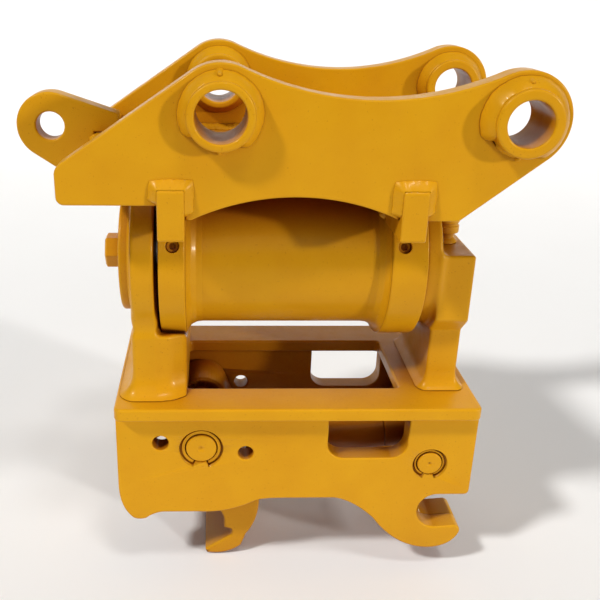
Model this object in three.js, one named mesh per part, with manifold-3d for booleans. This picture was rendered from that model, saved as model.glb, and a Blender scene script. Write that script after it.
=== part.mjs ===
// Tilting quick coupler for a small excavator.
// X runs along the tilt axis, Y across the width, Z up. Heights in the drawing functions are measured
// from the tilt axis; the finished group is lowered so that its origin is the centre of the stick pin.
import * as THREE from 'three';
import { mergeVertices } from 'three/addons/utils/BufferGeometryUtils.js';
import Module from 'manifold-3d';

const wasm = await Module();
wasm.setup();

// ---------------------------------------------------------------- driving dimensions, millimetres
const GAP = 0.3;                  // clearance between separate pieces that touch
const RUNNING = 0.8;              // clearance between round pieces that turn in each other
const CUT = 5;                    // how far a cutting tool runs past the face it cuts

const PIN_SPACING = 290;          // stick pin to link pin
const STICK_PIN_Z = 185;
const LINK_PIN_Z = 181;
const STICK_BORE_R = 25;
const LINK_BORE_R = 22.5;
const BOSS_R = 33;
const BOSS_OUTER = 158;           // half the width over the outer boss faces
const BOSS_INNER = 94;            // half the gap that takes the stick

const EAR_OUTER = 138;
const EAR_INNER = 114;
const EAR_HEAD_R = 47.7;
const EAR_LEFT = -161;
const EAR_LEFT_TOP = 133;
const EAR_LEFT_BOTTOM = 94.5;
const EAR_CORNER_R = 8;
const EAR_BOTTOM = 80;
const EAR_RIGHT_FOOT = 239;       // where the underside turns up towards the link pin
const EAR_DIP_R = 305;            // hollow between the two heads
const ARCH_R = 240;               // hollow over the actuator
const ARCH_X = 76;
const ARCH_TOP = 104;

const LUG = { x: -187, z: 149, r: 37, hole: 15.5, half: 12.5, right: -112, top: 163, bottom: 90, knee: -165 };
const FRONT_CROSS = { x0: -138, x1: -122, z0: 96, z1: 142 };
const TOP_CROSS = { x0: -61, x1: 203, thickness: 10 };

const SADDLE_TOP = 113;
const SADDLE_BOTTOM = 60;
const SADDLE_HALF = 148;
const SADDLE_LEFT = [-62, -35];
const SADDLE_RIGHT = [179, 205];

const TUBE_R = 84;
const TUBE_BORE_R = 70;
const FLANGE_R = 98;
const FLANGE_LEFT = [-66, -37];
const FLANGE_RIGHT = [187, 226];
const FLANGE_HUB = 12;            // length of the cone between flange and tube
const FLANGE_CHAMFER = 1.5;
const TUBE_SPIGOT_R = 78;         // reduced end of the tube inside the flange
const JOURNAL_BORE_R = 58;
const PLUG_ANGLE = Math.PI - 0.385;
const PLUG_HOLE_R = 7.3;
const PLUG_HOLE_DEPTH = 12;
const PLUG_SOCKET_R = 3.4;
const PLUG_SUNK = 3;

const SHAFT_JOURNAL_R = 50;
const SHAFT_BODY_R = 38;
const SHAFT_SPLINE = { x0: 80, x1: 118, r: 46 };
const SHAFT_LEFT_END_R = 34;
const SHAFT_RIGHT_END_R = 40;
const SLEEVE_X = [30, 150];
const PISTON_LENGTH = 20;
const PISTON_GROOVE = { from: 6, to: 14, depth: 6 };
const SLEEVE_R = 59.7;
const RING_GEAR = { x0: 95, x1: 135, bore: 60.6 };

const HEAD_R = 96;                // round head of the left upright
const LEFT_UPRIGHT = [-97, -71];
const FOOT_HALF = 77;
const FOOT_LEFT = { x1: -37, z1: -78, chamferX: -58, chamferY: 62 };
const RING_CLEARANCE_R = 101;
const RIGHT_HUB = { x0: 228, x1: 239, blend: 246, r: 84 };
const RIGHT_HEAD = { x0: 245, x1: 283, half: 80, top: 22, bottom: -56 };
const RIGHT_FOOT = { x0: 247, half: 61 };
const CAP = { x0: -112, r: 70 };
const CENTRE_BOLT = { r: 12, flats: 36, head: 15, washerR: 24, washer: 6, inside: 40 };
const ADAPTER = { x: 262, y: -25, r: 15, neck: 10.5, neckTop: 34, top: 62 };

const BASE = { x0: -119, x1: 302.5, half: 113, top: -151.6, thickness: 15.8, corner: 10 };
const WINDOW = { x0: -37, x1: 216, half: 62, corner: 6 };

const SIDE_OUTER = 98;
const SIDE_INNER = 73;
const SIDE_LEFT = -119;
const SIDE_RIGHT = 305;
const NOSE = { topZ: -262, x: -87, z: -312, bulge: 16 };      // rounded front end of a side plate
const PIN_REST = { x0: -64, x1: -24, z: -303 };               // flat that the attachment's front pin meets
const BELLY = { x0: 46, x1: 140, z: -284 };                   // raised underside between rest and hook
const HOOK_BACK = { x: 190, z: -314 };
const HOOK_BOTTOM = { x: 264, z: -360 };
const HOOK_LIP = { x: 300, z: -337 };
const NOTCH = { x0: 129, x1: 224, z: -227, corner: 20 };
const HOOK = { x: 268, z: -304, r: 24 };
const DOUBLER = { inner: 42, x0: 192, z1: -256 };
const FRONT_SAFETY_HOLE = { x: -67.7, z: -205.4, r: 9.5 };
const REAR_SAFETY_HOLE = { x: 32.3, z: -219.3, r: 9 };
const FRONT_BRACE = { x0: -113, x1: -101, z0: -286 };
const REAR_BRACE = { x0: 286, x1: 298, z0: -254 };

const JAW_PIVOT = { x: -20, z: -213.4 };
const JAW_PIN_R = 18;
const JAW_BUSH_R = 23;
const JAW_HALF = 70;
const JAW = { hubR: 32, back: 52, backZ: -308, throatX: -17, throatZ: -340, throatR: 25 };
const JAW_TIP = { x: -16, z: -383, heel: 30, heelZ: -378, thickness: 6 };
const CYLINDER_PIN = { x: 253, z: -236 };
const CYLINDER_PIN_R = 14.7;
const ROD_PIN = { x: 5, z: -262 };
const ROD_PIN_R = 12;
const ROD_EYE_PLAY = 3.2;         // radial play at the rod eye
const ROD_SLOT_HALF = 17;
const CYLINDER = { eyeR: 24, eyeHalf: 20, neck: 8, from: 40, to: 150, r: 30, bore: 23, glandTo: 168 };
const RAM = { r: 14, tail: 92, spigotR: 10, piston0: 96, piston1: 112, end: 218 };
const ROD_EYE = { r: 21, half: 15, neckR: 16 };
const RETAINER_DEPTH = 6;
const RETAINER_WIRE = 2;
const JAW_RETAINER_R = 26;
const CYLINDER_RETAINER_R = 21;
const RETAINER_GAP = [-1.95, -1.25]; // angles between which a retaining groove is interrupted

// ---------------------------------------------------------------- materials
const paint = new THREE.MeshStandardMaterial({ color: 0xe0a018, roughness: 0.35, metalness: 0.1 });
const steel = new THREE.MeshStandardMaterial({ color: 0x9a9a9c, roughness: 0.3, metalness: 0.9 });
const chrome = new THREE.MeshStandardMaterial({ color: 0xd8dadc, roughness: 0.1, metalness: 1 });
const bronze = new THREE.MeshStandardMaterial({ color: 0xa87838, roughness: 0.4, metalness: 0.8 });
const rubber = new THREE.MeshStandardMaterial({ color: 0x202022, roughness: 0.7, metalness: 0 });

// ---------------------------------------------------------------- geometry helpers
const ALONG_X = new THREE.Matrix4().makeBasis(
  new THREE.Vector3(0, 1, 0), new THREE.Vector3(0, 0, 1), new THREE.Vector3(1, 0, 0));

// Turns a closed three.js geometry into a manifold solid whose faces point out.
function solid(geometry) {
  const plain = geometry.clone();
  plain.deleteAttribute('normal');
  plain.deleteAttribute('uv');
  const merged = mergeVertices(plain, 1e-4);
  const points = merged.getAttribute('position').array;
  const triangles = Array.from(merged.index.array);
  const kept = [];
  for (let i = 0; i < triangles.length; i += 3) {
    const [a, b, c] = triangles.slice(i, i + 3);
    if (a !== b && b !== c && c !== a) kept.push(a, b, c);
  }
  if (signedVolume(points, kept) < 0) kept.reverse();
  const mesh = new wasm.Mesh({ numProp: 3, vertProperties: points, triVerts: new Uint32Array(kept) });
  return new wasm.Manifold(mesh);
}

function signedVolume(points, triangles) {
  const corner = (i) => new THREE.Vector3().fromArray(points, 3 * triangles[i]);
  let volume = 0;
  for (let i = 0; i < triangles.length; i += 3) {
    volume += corner(i).dot(corner(i + 1).cross(corner(i + 2))) / 6;
  }
  return volume;
}

function geometryOf(manifold) {
  const mesh = manifold.getMesh();
  const geometry = new THREE.BufferGeometry();
  geometry.setAttribute('position', new THREE.BufferAttribute(mesh.vertProperties, mesh.numProp));
  geometry.setIndex(new THREE.BufferAttribute(mesh.triVerts, 1));
  return geometry;
}

// Extrudes an outline drawn in X and Z between two Y planes.
function plateXZ(shape, y0, y1, arcSteps = 10) {
  const options = { depth: y1 - y0, bevelEnabled: false, curveSegments: arcSteps };
  return solid(new THREE.ExtrudeGeometry(shape, options).rotateX(Math.PI / 2).translate(0, y1, 0));
}

// Extrudes an outline drawn in Y and Z between two X planes.
function plateYZ(shape, x0, x1, arcSteps = 10) {
  const options = { depth: x1 - x0, bevelEnabled: false, curveSegments: arcSteps };
  return solid(new THREE.ExtrudeGeometry(shape, options).applyMatrix4(ALONG_X).translate(x0, 0, 0));
}

// Extrudes an outline drawn in X and Y between two heights.
function plateXY(shape, z0, z1, arcSteps = 6) {
  const options = { depth: z1 - z0, bevelEnabled: false, curveSegments: arcSteps };
  return solid(new THREE.ExtrudeGeometry(shape, options).translate(0, 0, z0));
}

function block(x0, x1, y0, y1, z0, z1) {
  const box = new THREE.BoxGeometry(x1 - x0, y1 - y0, z1 - z0);
  return solid(box.translate((x0 + x1) / 2, (y0 + y1) / 2, (z0 + z1) / 2));
}

// Turns a profile of [distance along the axis, radius] pairs. A profile off the axis closes on itself.
function turned(profile, steps) {
  const points = profile.map(([along, radius]) => new THREE.Vector2(radius, along));
  const onAxis = profile[0][1] === 0;
  if (!onAxis) points.push(points[0].clone());
  return new THREE.LatheGeometry(points, steps);
}

const turnedX = (profile, steps = 24) => solid(turned(profile, steps).rotateZ(-Math.PI / 2));
const turnedY = (profile, x, z, steps = 24) => solid(turned(profile, steps).translate(x, 0, z));
const turnedZ = (profile, x, y, steps = 20) => solid(turned(profile, steps).rotateX(Math.PI / 2)
  .translate(x, y, 0));

const rod = (from, to, radius) => [[from, 0], [from, radius], [to, radius], [to, 0]];
const sleeve = (from, to, inner, outer) => [[from, inner], [from, outer], [to, outer], [to, inner]];

function outline(points) {
  return new THREE.Shape(points.map(([u, v]) => new THREE.Vector2(u, v)));
}

// Rectangle with rounded or, with one arc step, chamfered corners.
function roundedBox(u0, u1, v0, v1, r) {
  const shape = new THREE.Shape();
  shape.moveTo(u0 + r, v0);
  shape.absarc(u1 - r, v0 + r, r, -Math.PI / 2, 0);
  shape.absarc(u1 - r, v1 - r, r, 0, Math.PI / 2);
  shape.absarc(u0 + r, v1 - r, r, Math.PI / 2, Math.PI);
  shape.absarc(u0 + r, v0 + r, r, Math.PI, 1.5 * Math.PI);
  return shape;
}

// Angle, seen from a circle's centre, of the point where a line from (u, v) touches the circle.
function touchAngle(u, v, centreU, centreV, r, side) {
  const away = Math.atan2(v - centreV, u - centreU);
  return away + side * Math.acos(r / Math.hypot(u - centreU, v - centreV));
}

// ---------------------------------------------------------------- scene graph
const coupler = new THREE.Group();
coupler.position.z = -STICK_PIN_Z;

function add(name, manifold, material = paint, parent = coupler) {
  const mesh = new THREE.Mesh(geometryOf(manifold), material.clone());
  mesh.name = name;
  parent.add(mesh);
}

const SIDES = [['near', -1], ['far', 1]];

// Orders a pair of distances from the centre plane into Y limits on one side of it.
const span = (side, inner, outer) => (side < 0 ? [-outer, -inner] : [inner, outer]);

// ---------------------------------------------------------------- upper frame
function earShape() {
  const stick = { x: 0, z: STICK_PIN_Z };
  const link = { x: PIN_SPACING, z: LINK_PIN_Z };
  const reach = EAR_DIP_R + EAR_HEAD_R;
  const between = Math.hypot(link.x - stick.x, link.z - stick.z);
  const tiltOfLine = Math.atan2(link.z - stick.z, link.x - stick.x);
  const toDip = tiltOfLine + Math.acos(between / 2 / reach);
  const dip = { x: stick.x + reach * Math.cos(toDip), z: stick.z + reach * Math.sin(toDip) };
  const fromLink = Math.atan2(dip.z - link.z, dip.x - link.x);
  const underLink = touchAngle(EAR_RIGHT_FOOT, EAR_BOTTOM, link.x, link.z, EAR_HEAD_R, 1);
  const overStick = touchAngle(EAR_LEFT, EAR_LEFT_TOP, stick.x, stick.z, EAR_HEAD_R, -1);
  const archZ = ARCH_TOP - ARCH_R;
  const archSpan = Math.asin((EAR_BOTTOM - archZ) / ARCH_R);

  const shape = new THREE.Shape();
  shape.moveTo(EAR_RIGHT_FOOT, EAR_BOTTOM);
  shape.absarc(link.x, link.z, EAR_HEAD_R, underLink, fromLink);
  shape.absarc(dip.x, dip.z, EAR_DIP_R, fromLink + Math.PI, toDip + Math.PI, true);
  shape.absarc(stick.x, stick.z, EAR_HEAD_R, toDip, overStick);
  shape.lineTo(EAR_LEFT + 2, EAR_LEFT_TOP + 1);
  shape.lineTo(EAR_LEFT, EAR_LEFT_TOP - 3);
  shape.absarc(EAR_LEFT + EAR_CORNER_R, EAR_LEFT_BOTTOM + EAR_CORNER_R, EAR_CORNER_R, Math.PI, 1.5 * Math.PI);
  const step = (SADDLE_LEFT[0] + SADDLE_LEFT[1]) / 2;
  shape.lineTo(step, EAR_LEFT_BOTTOM);
  shape.lineTo(step, EAR_BOTTOM);
  shape.absarc(ARCH_X, archZ, ARCH_R, Math.PI - archSpan, archSpan, true);
  return shape;
}

function makeEars() {
  const bosses = [['stick', 0, STICK_PIN_Z, STICK_BORE_R], ['link', PIN_SPACING, LINK_PIN_Z, LINK_BORE_R]];
  for (const [word, side] of SIDES) {
    const [y0, y1] = span(side, EAR_INNER, EAR_OUTER);
    let ear = plateXZ(earShape(), y0, y1, 8);
    for (const [, x, z] of bosses) {
      ear = ear.subtract(turnedY(rod(y0 - CUT, y1 + CUT, BOSS_R + GAP), x, z));
    }
    for (const [x0, x1] of [SADDLE_LEFT, SADDLE_RIGHT]) {
      ear = ear.subtract(block(x0 - GAP, x1 + GAP, y0 - CUT, y1 + CUT, 0, SADDLE_TOP + GAP));
    }
    add(`${word}_ear_plate`, ear);

    for (const [pin, x, z, bore] of bosses) {
      const [inside, outside] = [side * BOSS_INNER, side * BOSS_OUTER];
      const edge = side * 2;
      const profile = [
        [inside, bore + 2], [inside, BOSS_R - 2], [inside + edge, BOSS_R], [outside - edge, BOSS_R],
        [outside, BOSS_R - 2], [outside, bore + 2], [outside - edge, bore], [inside + edge, bore]];
      add(`${word}_${pin}_boss`, turnedY(profile, x, z));
    }
  }
}

function makeLugAndCrossPlates() {
  const inner = EAR_INNER - GAP;
  const upper = touchAngle(LUG.right, LUG.top, LUG.x, LUG.z, LUG.r, 1);
  const lower = touchAngle(LUG.knee, LUG.bottom, LUG.x, LUG.z, LUG.r, -1);
  const shape = new THREE.Shape();
  shape.moveTo(LUG.right, LUG.bottom);
  shape.lineTo(LUG.right, LUG.top);
  shape.absarc(LUG.x, LUG.z, LUG.r, upper, lower + 2 * Math.PI);
  shape.lineTo(LUG.knee, LUG.bottom);
  const hole = turnedY(rod(-LUG.half - CUT, LUG.half + CUT, LUG.hole), LUG.x, LUG.z, 24);
  const seat = block(FRONT_CROSS.x0 - GAP, FRONT_CROSS.x1 + GAP, -LUG.half - CUT, LUG.half + CUT,
    LUG.bottom - CUT, FRONT_CROSS.z1 + GAP);
  const tail = block(FRONT_CROSS.x0 - GAP, LUG.right + CUT, -LUG.half - CUT, LUG.half + CUT,
    LUG.bottom - CUT, FRONT_CROSS.z0 - GAP);
  add('lifting_lug', plateXZ(shape, -LUG.half, LUG.half, 10).subtract(hole).subtract(seat).subtract(tail));

  const { x0, x1, z0, z1 } = FRONT_CROSS;
  add('front_cross_plate', block(x0, x1, -inner, inner, z0, z1));
  const top = SADDLE_TOP + GAP;
  add('top_cross_plate', block(TOP_CROSS.x0, TOP_CROSS.x1, -inner, inner, top, top + TOP_CROSS.thickness));
}

function makeSaddlePlates() {
  const around = FLANGE_R + GAP;
  for (const [word, [x0, x1]] of [['left', SADDLE_LEFT], ['right', SADDLE_RIGHT]]) {
    const shape = roundedBox(-SADDLE_HALF, SADDLE_HALF, SADDLE_BOTTOM, SADDLE_TOP, 3);
    const plate = plateYZ(shape, x0, x1, 2).subtract(turnedX(rod(x0 - CUT, x1 + CUT, around), 32));
    add(`${word}_saddle_plate`, plate);
  }
}

// ---------------------------------------------------------------- rotary actuator housing
function makeHousing() {
  const tubeEnds = [FLANGE_LEFT[1] + GAP, FLANGE_RIGHT[0] - GAP];
  const underHub = TUBE_SPIGOT_R;
  const shoulder = FLANGE_HUB + GAP;
  add('actuator_tube', turnedX([
    [tubeEnds[0], TUBE_BORE_R], [tubeEnds[0], underHub], [tubeEnds[0] + shoulder, underHub],
    [tubeEnds[0] + shoulder, TUBE_R], [tubeEnds[1] - shoulder, TUBE_R], [tubeEnds[1] - shoulder, underHub],
    [tubeEnds[1], underHub], [tubeEnds[1], TUBE_BORE_R]], 32));

  const flanges = [['left', FLANGE_LEFT, FLANGE_LEFT[1], 1], ['right', FLANGE_RIGHT, FLANGE_RIGHT[0], -1]];
  for (const [word, [x0, x1], inward, way] of flanges) {
    const outward = inward === x1 ? x0 : x1;
    const hubEnd = inward + way * FLANGE_HUB;
    const ring = turnedX([
      [outward, JOURNAL_BORE_R + GAP], [outward, FLANGE_R - FLANGE_CHAMFER],
      [outward + way * FLANGE_CHAMFER, FLANGE_R],
      [inward, FLANGE_R], [hubEnd, TUBE_R], [hubEnd, underHub + GAP], [inward, underHub + GAP],
      [inward, JOURNAL_BORE_R + GAP]], 32);
    const middle = word === 'left' ? (x0 + x1) / 2 + 1 : x0 + 13;
    const spoke = (from, to, r) => solid(turned(rod(from, to, r), 16).rotateX(PLUG_ANGLE)
      .translate(middle, 0, 0));
    const port = spoke(FLANGE_R - PLUG_HOLE_DEPTH, FLANGE_R + CUT, PLUG_HOLE_R);
    add(`${word}_housing_flange`, ring.subtract(port));
    const plug = spoke(FLANGE_R - PLUG_HOLE_DEPTH + GAP, FLANGE_R - PLUG_SUNK, PLUG_HOLE_R - GAP);
    add(`${word}_port_plug`, plug.subtract(spoke(FLANGE_R - 2 * PLUG_SUNK, FLANGE_R, PLUG_SOCKET_R)));
    const rim = JOURNAL_BORE_R;
    add(`${word}_shaft_bearing`, turnedX(sleeve(x0 + 3, x1 - 2, SHAFT_JOURNAL_R + RUNNING, rim)), bronze);
    const seal = word === 'left' ? [x0 - 3, x0 + 2.7] : [x1 - 1.7, x1 + 1.4];
    add(`${word}_shaft_seal`, turnedX(sleeve(seal[0], seal[1], SHAFT_JOURNAL_R + RUNNING, rim)), rubber);
  }
  add('ring_gear', turnedX(sleeve(RING_GEAR.x0, RING_GEAR.x1, RING_GEAR.bore, TUBE_BORE_R - 2 * GAP)), steel);
}

function makePiston() {
  const [x0, x1] = SLEEVE_X;
  const crown = TUBE_BORE_R - 2 * GAP;
  const groove = [x0 + PISTON_GROOVE.from, x0 + PISTON_GROOVE.to];
  const grooveR = crown - PISTON_GROOVE.depth;
  const bore = SHAFT_SPLINE.r + RUNNING;
  const tail = SHAFT_BODY_R + RUNNING;
  add('piston_sleeve', turnedX([
    [x0, tail], [x0, crown], [groove[0], crown], [groove[0], grooveR], [groove[1], grooveR],
    [groove[1], crown], [x0 + PISTON_LENGTH, crown], [x0 + PISTON_LENGTH, SLEEVE_R], [x1, SLEEVE_R],
    [x1, bore], [x0 + PISTON_LENGTH, bore], [x0 + PISTON_LENGTH, tail]]), steel);
  const seal = sleeve(groove[0] + GAP, groove[1] - GAP, grooveR + RUNNING, crown);
  add('piston_seal', turnedX(seal), rubber);
}

// ---------------------------------------------------------------- lower frame
function makeShaft() {
  const tipLeft = LEFT_UPRIGHT[0];
  const [bearingLeft, bearingRight] = [FLANGE_LEFT[1] - GAP, FLANGE_RIGHT[0] + GAP];
  const boltHole = CENTRE_BOLT.r + GAP;
  const holeEnd = CAP.x0 + CENTRE_BOLT.inside + 1;
  add('output_shaft', turnedX([
    [holeEnd, 0], [holeEnd, boltHole], [tipLeft, boltHole], [tipLeft, SHAFT_LEFT_END_R],
    [LEFT_UPRIGHT[1] + GAP, SHAFT_LEFT_END_R], [LEFT_UPRIGHT[1] + GAP, SHAFT_JOURNAL_R],
    [bearingLeft, SHAFT_JOURNAL_R], [bearingLeft, SHAFT_BODY_R], [SHAFT_SPLINE.x0, SHAFT_BODY_R],
    [SHAFT_SPLINE.x0, SHAFT_SPLINE.r], [SHAFT_SPLINE.x1, SHAFT_SPLINE.r], [SHAFT_SPLINE.x1, SHAFT_BODY_R],
    [bearingRight, SHAFT_BODY_R], [bearingRight, SHAFT_JOURNAL_R], [RIGHT_HUB.x0 - GAP, SHAFT_JOURNAL_R],
    [RIGHT_HUB.x0 - GAP, SHAFT_RIGHT_END_R], [RIGHT_HUB.blend - 6, SHAFT_RIGHT_END_R],
    [RIGHT_HUB.blend - 6, 0]]), steel);

  const capInner = tipLeft - GAP;
  add('end_cap', turnedX([
    [CAP.x0, boltHole], [CAP.x0, CAP.r - 3], [CAP.x0 + 3, CAP.r], [capInner, CAP.r],
    [capInner, boltHole]], 32));

  const washerEnd = CAP.x0 - GAP;
  const headEnd = washerEnd - CENTRE_BOLT.washer;
  const hexR = CENTRE_BOLT.flats / Math.sqrt(3);
  const shank = turnedX([
    [CAP.x0 + CENTRE_BOLT.inside, 0], [CAP.x0 + CENTRE_BOLT.inside, CENTRE_BOLT.r],
    [washerEnd, CENTRE_BOLT.r], [washerEnd, CENTRE_BOLT.washerR], [headEnd, CENTRE_BOLT.washerR],
    [headEnd, 0]], 24);
  add('centre_bolt', shank.add(turnedX(rod(headEnd + 1, headEnd - CENTRE_BOLT.head, hexR), 6)));
}

function makeUprights() {
  const floor = BASE.top + GAP;
  const [x0, x1] = LEFT_UPRIGHT;
  const neck = block(x0, x1, -FOOT_HALF, FOOT_HALF, floor, 0);
  const { x1: toe, z1: toeTop, chamferX, chamferY } = FOOT_LEFT;
  const toeShape = outline([
    [x1 - 1, -FOOT_HALF], [chamferX, -FOOT_HALF], [toe, -chamferY], [toe, chamferY],
    [chamferX, FOOT_HALF], [x1 - 1, FOOT_HALF]]);
  const toeBlock = plateXY(toeShape, floor, toeTop)
    .subtract(turnedX(rod(x1, toe + CUT, RING_CLEARANCE_R), 32));
  add('left_upright', turnedX(rod(x0, x1, HEAD_R), 32).add(neck).add(toeBlock)
    .subtract(turnedX(rod(x0 - CUT, x1 + CUT, SHAFT_LEFT_END_R + GAP))));

  const { half, top, bottom } = RIGHT_HEAD;
  const step = half - RIGHT_FOOT.half;
  const head = plateYZ(outline([
    [-half, top], [-half, bottom], [-half + step, bottom - step], [half - step, bottom - step],
    [half, bottom], [half, top]]), RIGHT_HEAD.x0, RIGHT_HEAD.x1);
  const foot = block(RIGHT_FOOT.x0, RIGHT_HEAD.x1, -RIGHT_FOOT.half, RIGHT_FOOT.half, floor, bottom);
  const hub = turnedX([
    [RIGHT_HUB.x0, 0], [RIGHT_HUB.x0, RIGHT_HUB.r], [RIGHT_HUB.x1, RIGHT_HUB.r],
    [RIGHT_HUB.blend, RIGHT_HEAD.half], [RIGHT_HUB.blend, 0]], 32);
  const socket = turnedX(rod(RIGHT_HUB.x0 - CUT, RIGHT_HUB.blend - 5, SHAFT_RIGHT_END_R + GAP));
  add('right_upright', hub.add(head).add(foot).subtract(socket));

  add('port_adapter', turnedZ([
    [top + GAP, 0], [top + GAP, ADAPTER.neck + 4], [ADAPTER.neckTop - 6, ADAPTER.neck],
    [ADAPTER.neckTop, ADAPTER.neck], [ADAPTER.neckTop, ADAPTER.r], [ADAPTER.top, ADAPTER.r],
    [ADAPTER.top, 0]], ADAPTER.x, ADAPTER.y));
}

function makeBase() {
  const plate = roundedBox(BASE.x0, BASE.x1, -BASE.half, BASE.half, BASE.corner);
  const window = roundedBox(WINDOW.x0, WINDOW.x1, -WINDOW.half, WINDOW.half, WINDOW.corner);
  const bottom = BASE.top - BASE.thickness;
  add('base_plate', plateXY(plate, bottom, BASE.top).subtract(plateXY(window, bottom - CUT, BASE.top + CUT)));
}

// Outline of a side plate: nose and pin rest on the left, hook that opens to the right.
function sideShape() {
  const top = BASE.top - BASE.thickness - GAP;
  const corner = 7;
  const shape = new THREE.Shape();
  shape.moveTo(SIDE_LEFT, top);
  shape.lineTo(SIDE_LEFT, NOSE.topZ);
  shape.quadraticCurveTo(SIDE_LEFT, NOSE.z + NOSE.bulge, NOSE.x - NOSE.bulge, NOSE.z + 1);
  shape.quadraticCurveTo(NOSE.x - 9, NOSE.z - 3, NOSE.x, NOSE.z);
  shape.quadraticCurveTo(PIN_REST.x0 - 12, PIN_REST.z, PIN_REST.x0, PIN_REST.z);
  shape.lineTo(PIN_REST.x1, PIN_REST.z);
  shape.quadraticCurveTo(PIN_REST.x1 + 36, PIN_REST.z - 3, BELLY.x0, BELLY.z - 3);
  shape.quadraticCurveTo(BELLY.x0 + 10, BELLY.z, BELLY.x0 + 30, BELLY.z);
  shape.lineTo(BELLY.x1, BELLY.z);
  shape.quadraticCurveTo(HOOK_BACK.x - 27, BELLY.z - 3, HOOK_BACK.x, HOOK_BACK.z);
  shape.quadraticCurveTo(HOOK_BACK.x + 32, HOOK_BOTTOM.z, HOOK_BOTTOM.x, HOOK_BOTTOM.z);
  shape.quadraticCurveTo(HOOK_LIP.x - 8, HOOK_BOTTOM.z + 2, HOOK_LIP.x, HOOK_LIP.z);
  shape.lineTo(HOOK_LIP.x - corner, HOOK_LIP.z + 2 * corner - 1);
  shape.lineTo(HOOK.x, HOOK.z - HOOK.r);
  shape.absarc(HOOK.x, HOOK.z, HOOK.r, 1.5 * Math.PI, 0.5 * Math.PI, true);
  shape.lineTo(SIDE_RIGHT - corner, HOOK.z + HOOK.r);
  shape.quadraticCurveTo(SIDE_RIGHT, HOOK.z + HOOK.r, SIDE_RIGHT, HOOK.z + HOOK.r + corner);
  shape.lineTo(SIDE_RIGHT, top);
  return shape;
}

// Groove around a pin's end, interrupted at the bottom, where its retaining ring sits.
function retainerGroove(centre, inner, outer, y0, y1) {
  const [from, to] = [RETAINER_GAP[1], RETAINER_GAP[0] + 2 * Math.PI];
  const shape = new THREE.Shape();
  shape.absarc(centre.x, centre.z, outer, from, to);
  shape.absarc(centre.x, centre.z, inner, to, from, true);
  return plateXZ(shape, y0, y1, 12);
}

function makeSidePlates() {
  const pins = [
    ['jaw', JAW_PIVOT, JAW_PIN_R, JAW_RETAINER_R],
    ['cylinder', CYLINDER_PIN, CYLINDER_PIN_R, CYLINDER_RETAINER_R]];
  const allAcross = (r, { x, z }, steps) => turnedY(rod(-BASE.half * 2, BASE.half * 2, r), x, z, steps);
  for (const [word, side] of SIDES) {
    const [y0, y1] = span(side, SIDE_INNER, SIDE_OUTER);
    const face = side * SIDE_OUTER;
    const groove = span(side, SIDE_OUTER - RETAINER_DEPTH, SIDE_OUTER + CUT);
    let plate = plateXZ(sideShape(), y0, y1, 5);
    const notchTop = BASE.top + CUT;
    const notch = roundedBox(NOTCH.x0, NOTCH.x1, NOTCH.z, notchTop + NOTCH.corner, NOTCH.corner);
    plate = plate.subtract(plateXZ(notch, y0 - CUT, y1 + CUT, 4));
    for (const hole of [FRONT_SAFETY_HOLE, REAR_SAFETY_HOLE]) {
      plate = plate.subtract(allAcross(hole.r, hole, 12));
    }
    for (const [pin, centre, r, grooveR] of pins) {
      plate = plate.subtract(allAcross(r + GAP, centre, 24));
      plate = plate.subtract(retainerGroove(centre, r - 1, grooveR, ...groove));
      const floor = face - side * RETAINER_DEPTH;
      const ends = [floor + side * GAP, floor + side * (GAP + RETAINER_WIRE)].sort((u, v) => u - v);
      const ring = retainerGroove(centre, r + 2 * GAP, grooveR - 3, ...ends);
      add(`${word}_${pin}_pin_ring`, ring);
    }
    add(`${word}_side_plate`, plate);

    const inner = span(side, DOUBLER.inner, SIDE_INNER - GAP);
    const below = HOOK_BOTTOM.z - CUT;
    const region = block(DOUBLER.x0, SIDE_RIGHT + CUT, -SIDE_OUTER, SIDE_OUTER, below, DOUBLER.z1);
    add(`${word}_hook_doubler`, plateXZ(sideShape(), ...inner, 5).intersect(region));
  }
  const reach = SIDE_OUTER - 1;
  const dimple = (side) => turnedY([[side * reach + side, 0], [side * reach + side, 3.5],
    [side * (reach - 3), 0]], JAW_PIVOT.x, JAW_PIVOT.z, 12);
  add('jaw_pin', turnedY(rod(-reach, reach, JAW_PIN_R), JAW_PIVOT.x, JAW_PIVOT.z)
    .subtract(dimple(-1)).subtract(dimple(1)));
  add('cylinder_pin', turnedY(rod(-reach, reach, CYLINDER_PIN_R), CYLINDER_PIN.x, CYLINDER_PIN.z));

  const top = BASE.top - BASE.thickness - GAP;
  const inner = SIDE_INNER - GAP;
  add('front_brace', block(FRONT_BRACE.x0, FRONT_BRACE.x1, -inner, inner, FRONT_BRACE.z0, top));
  add('rear_brace', block(REAR_BRACE.x0, REAR_BRACE.x1, -inner, inner, REAR_BRACE.z0, top));
}

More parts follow.
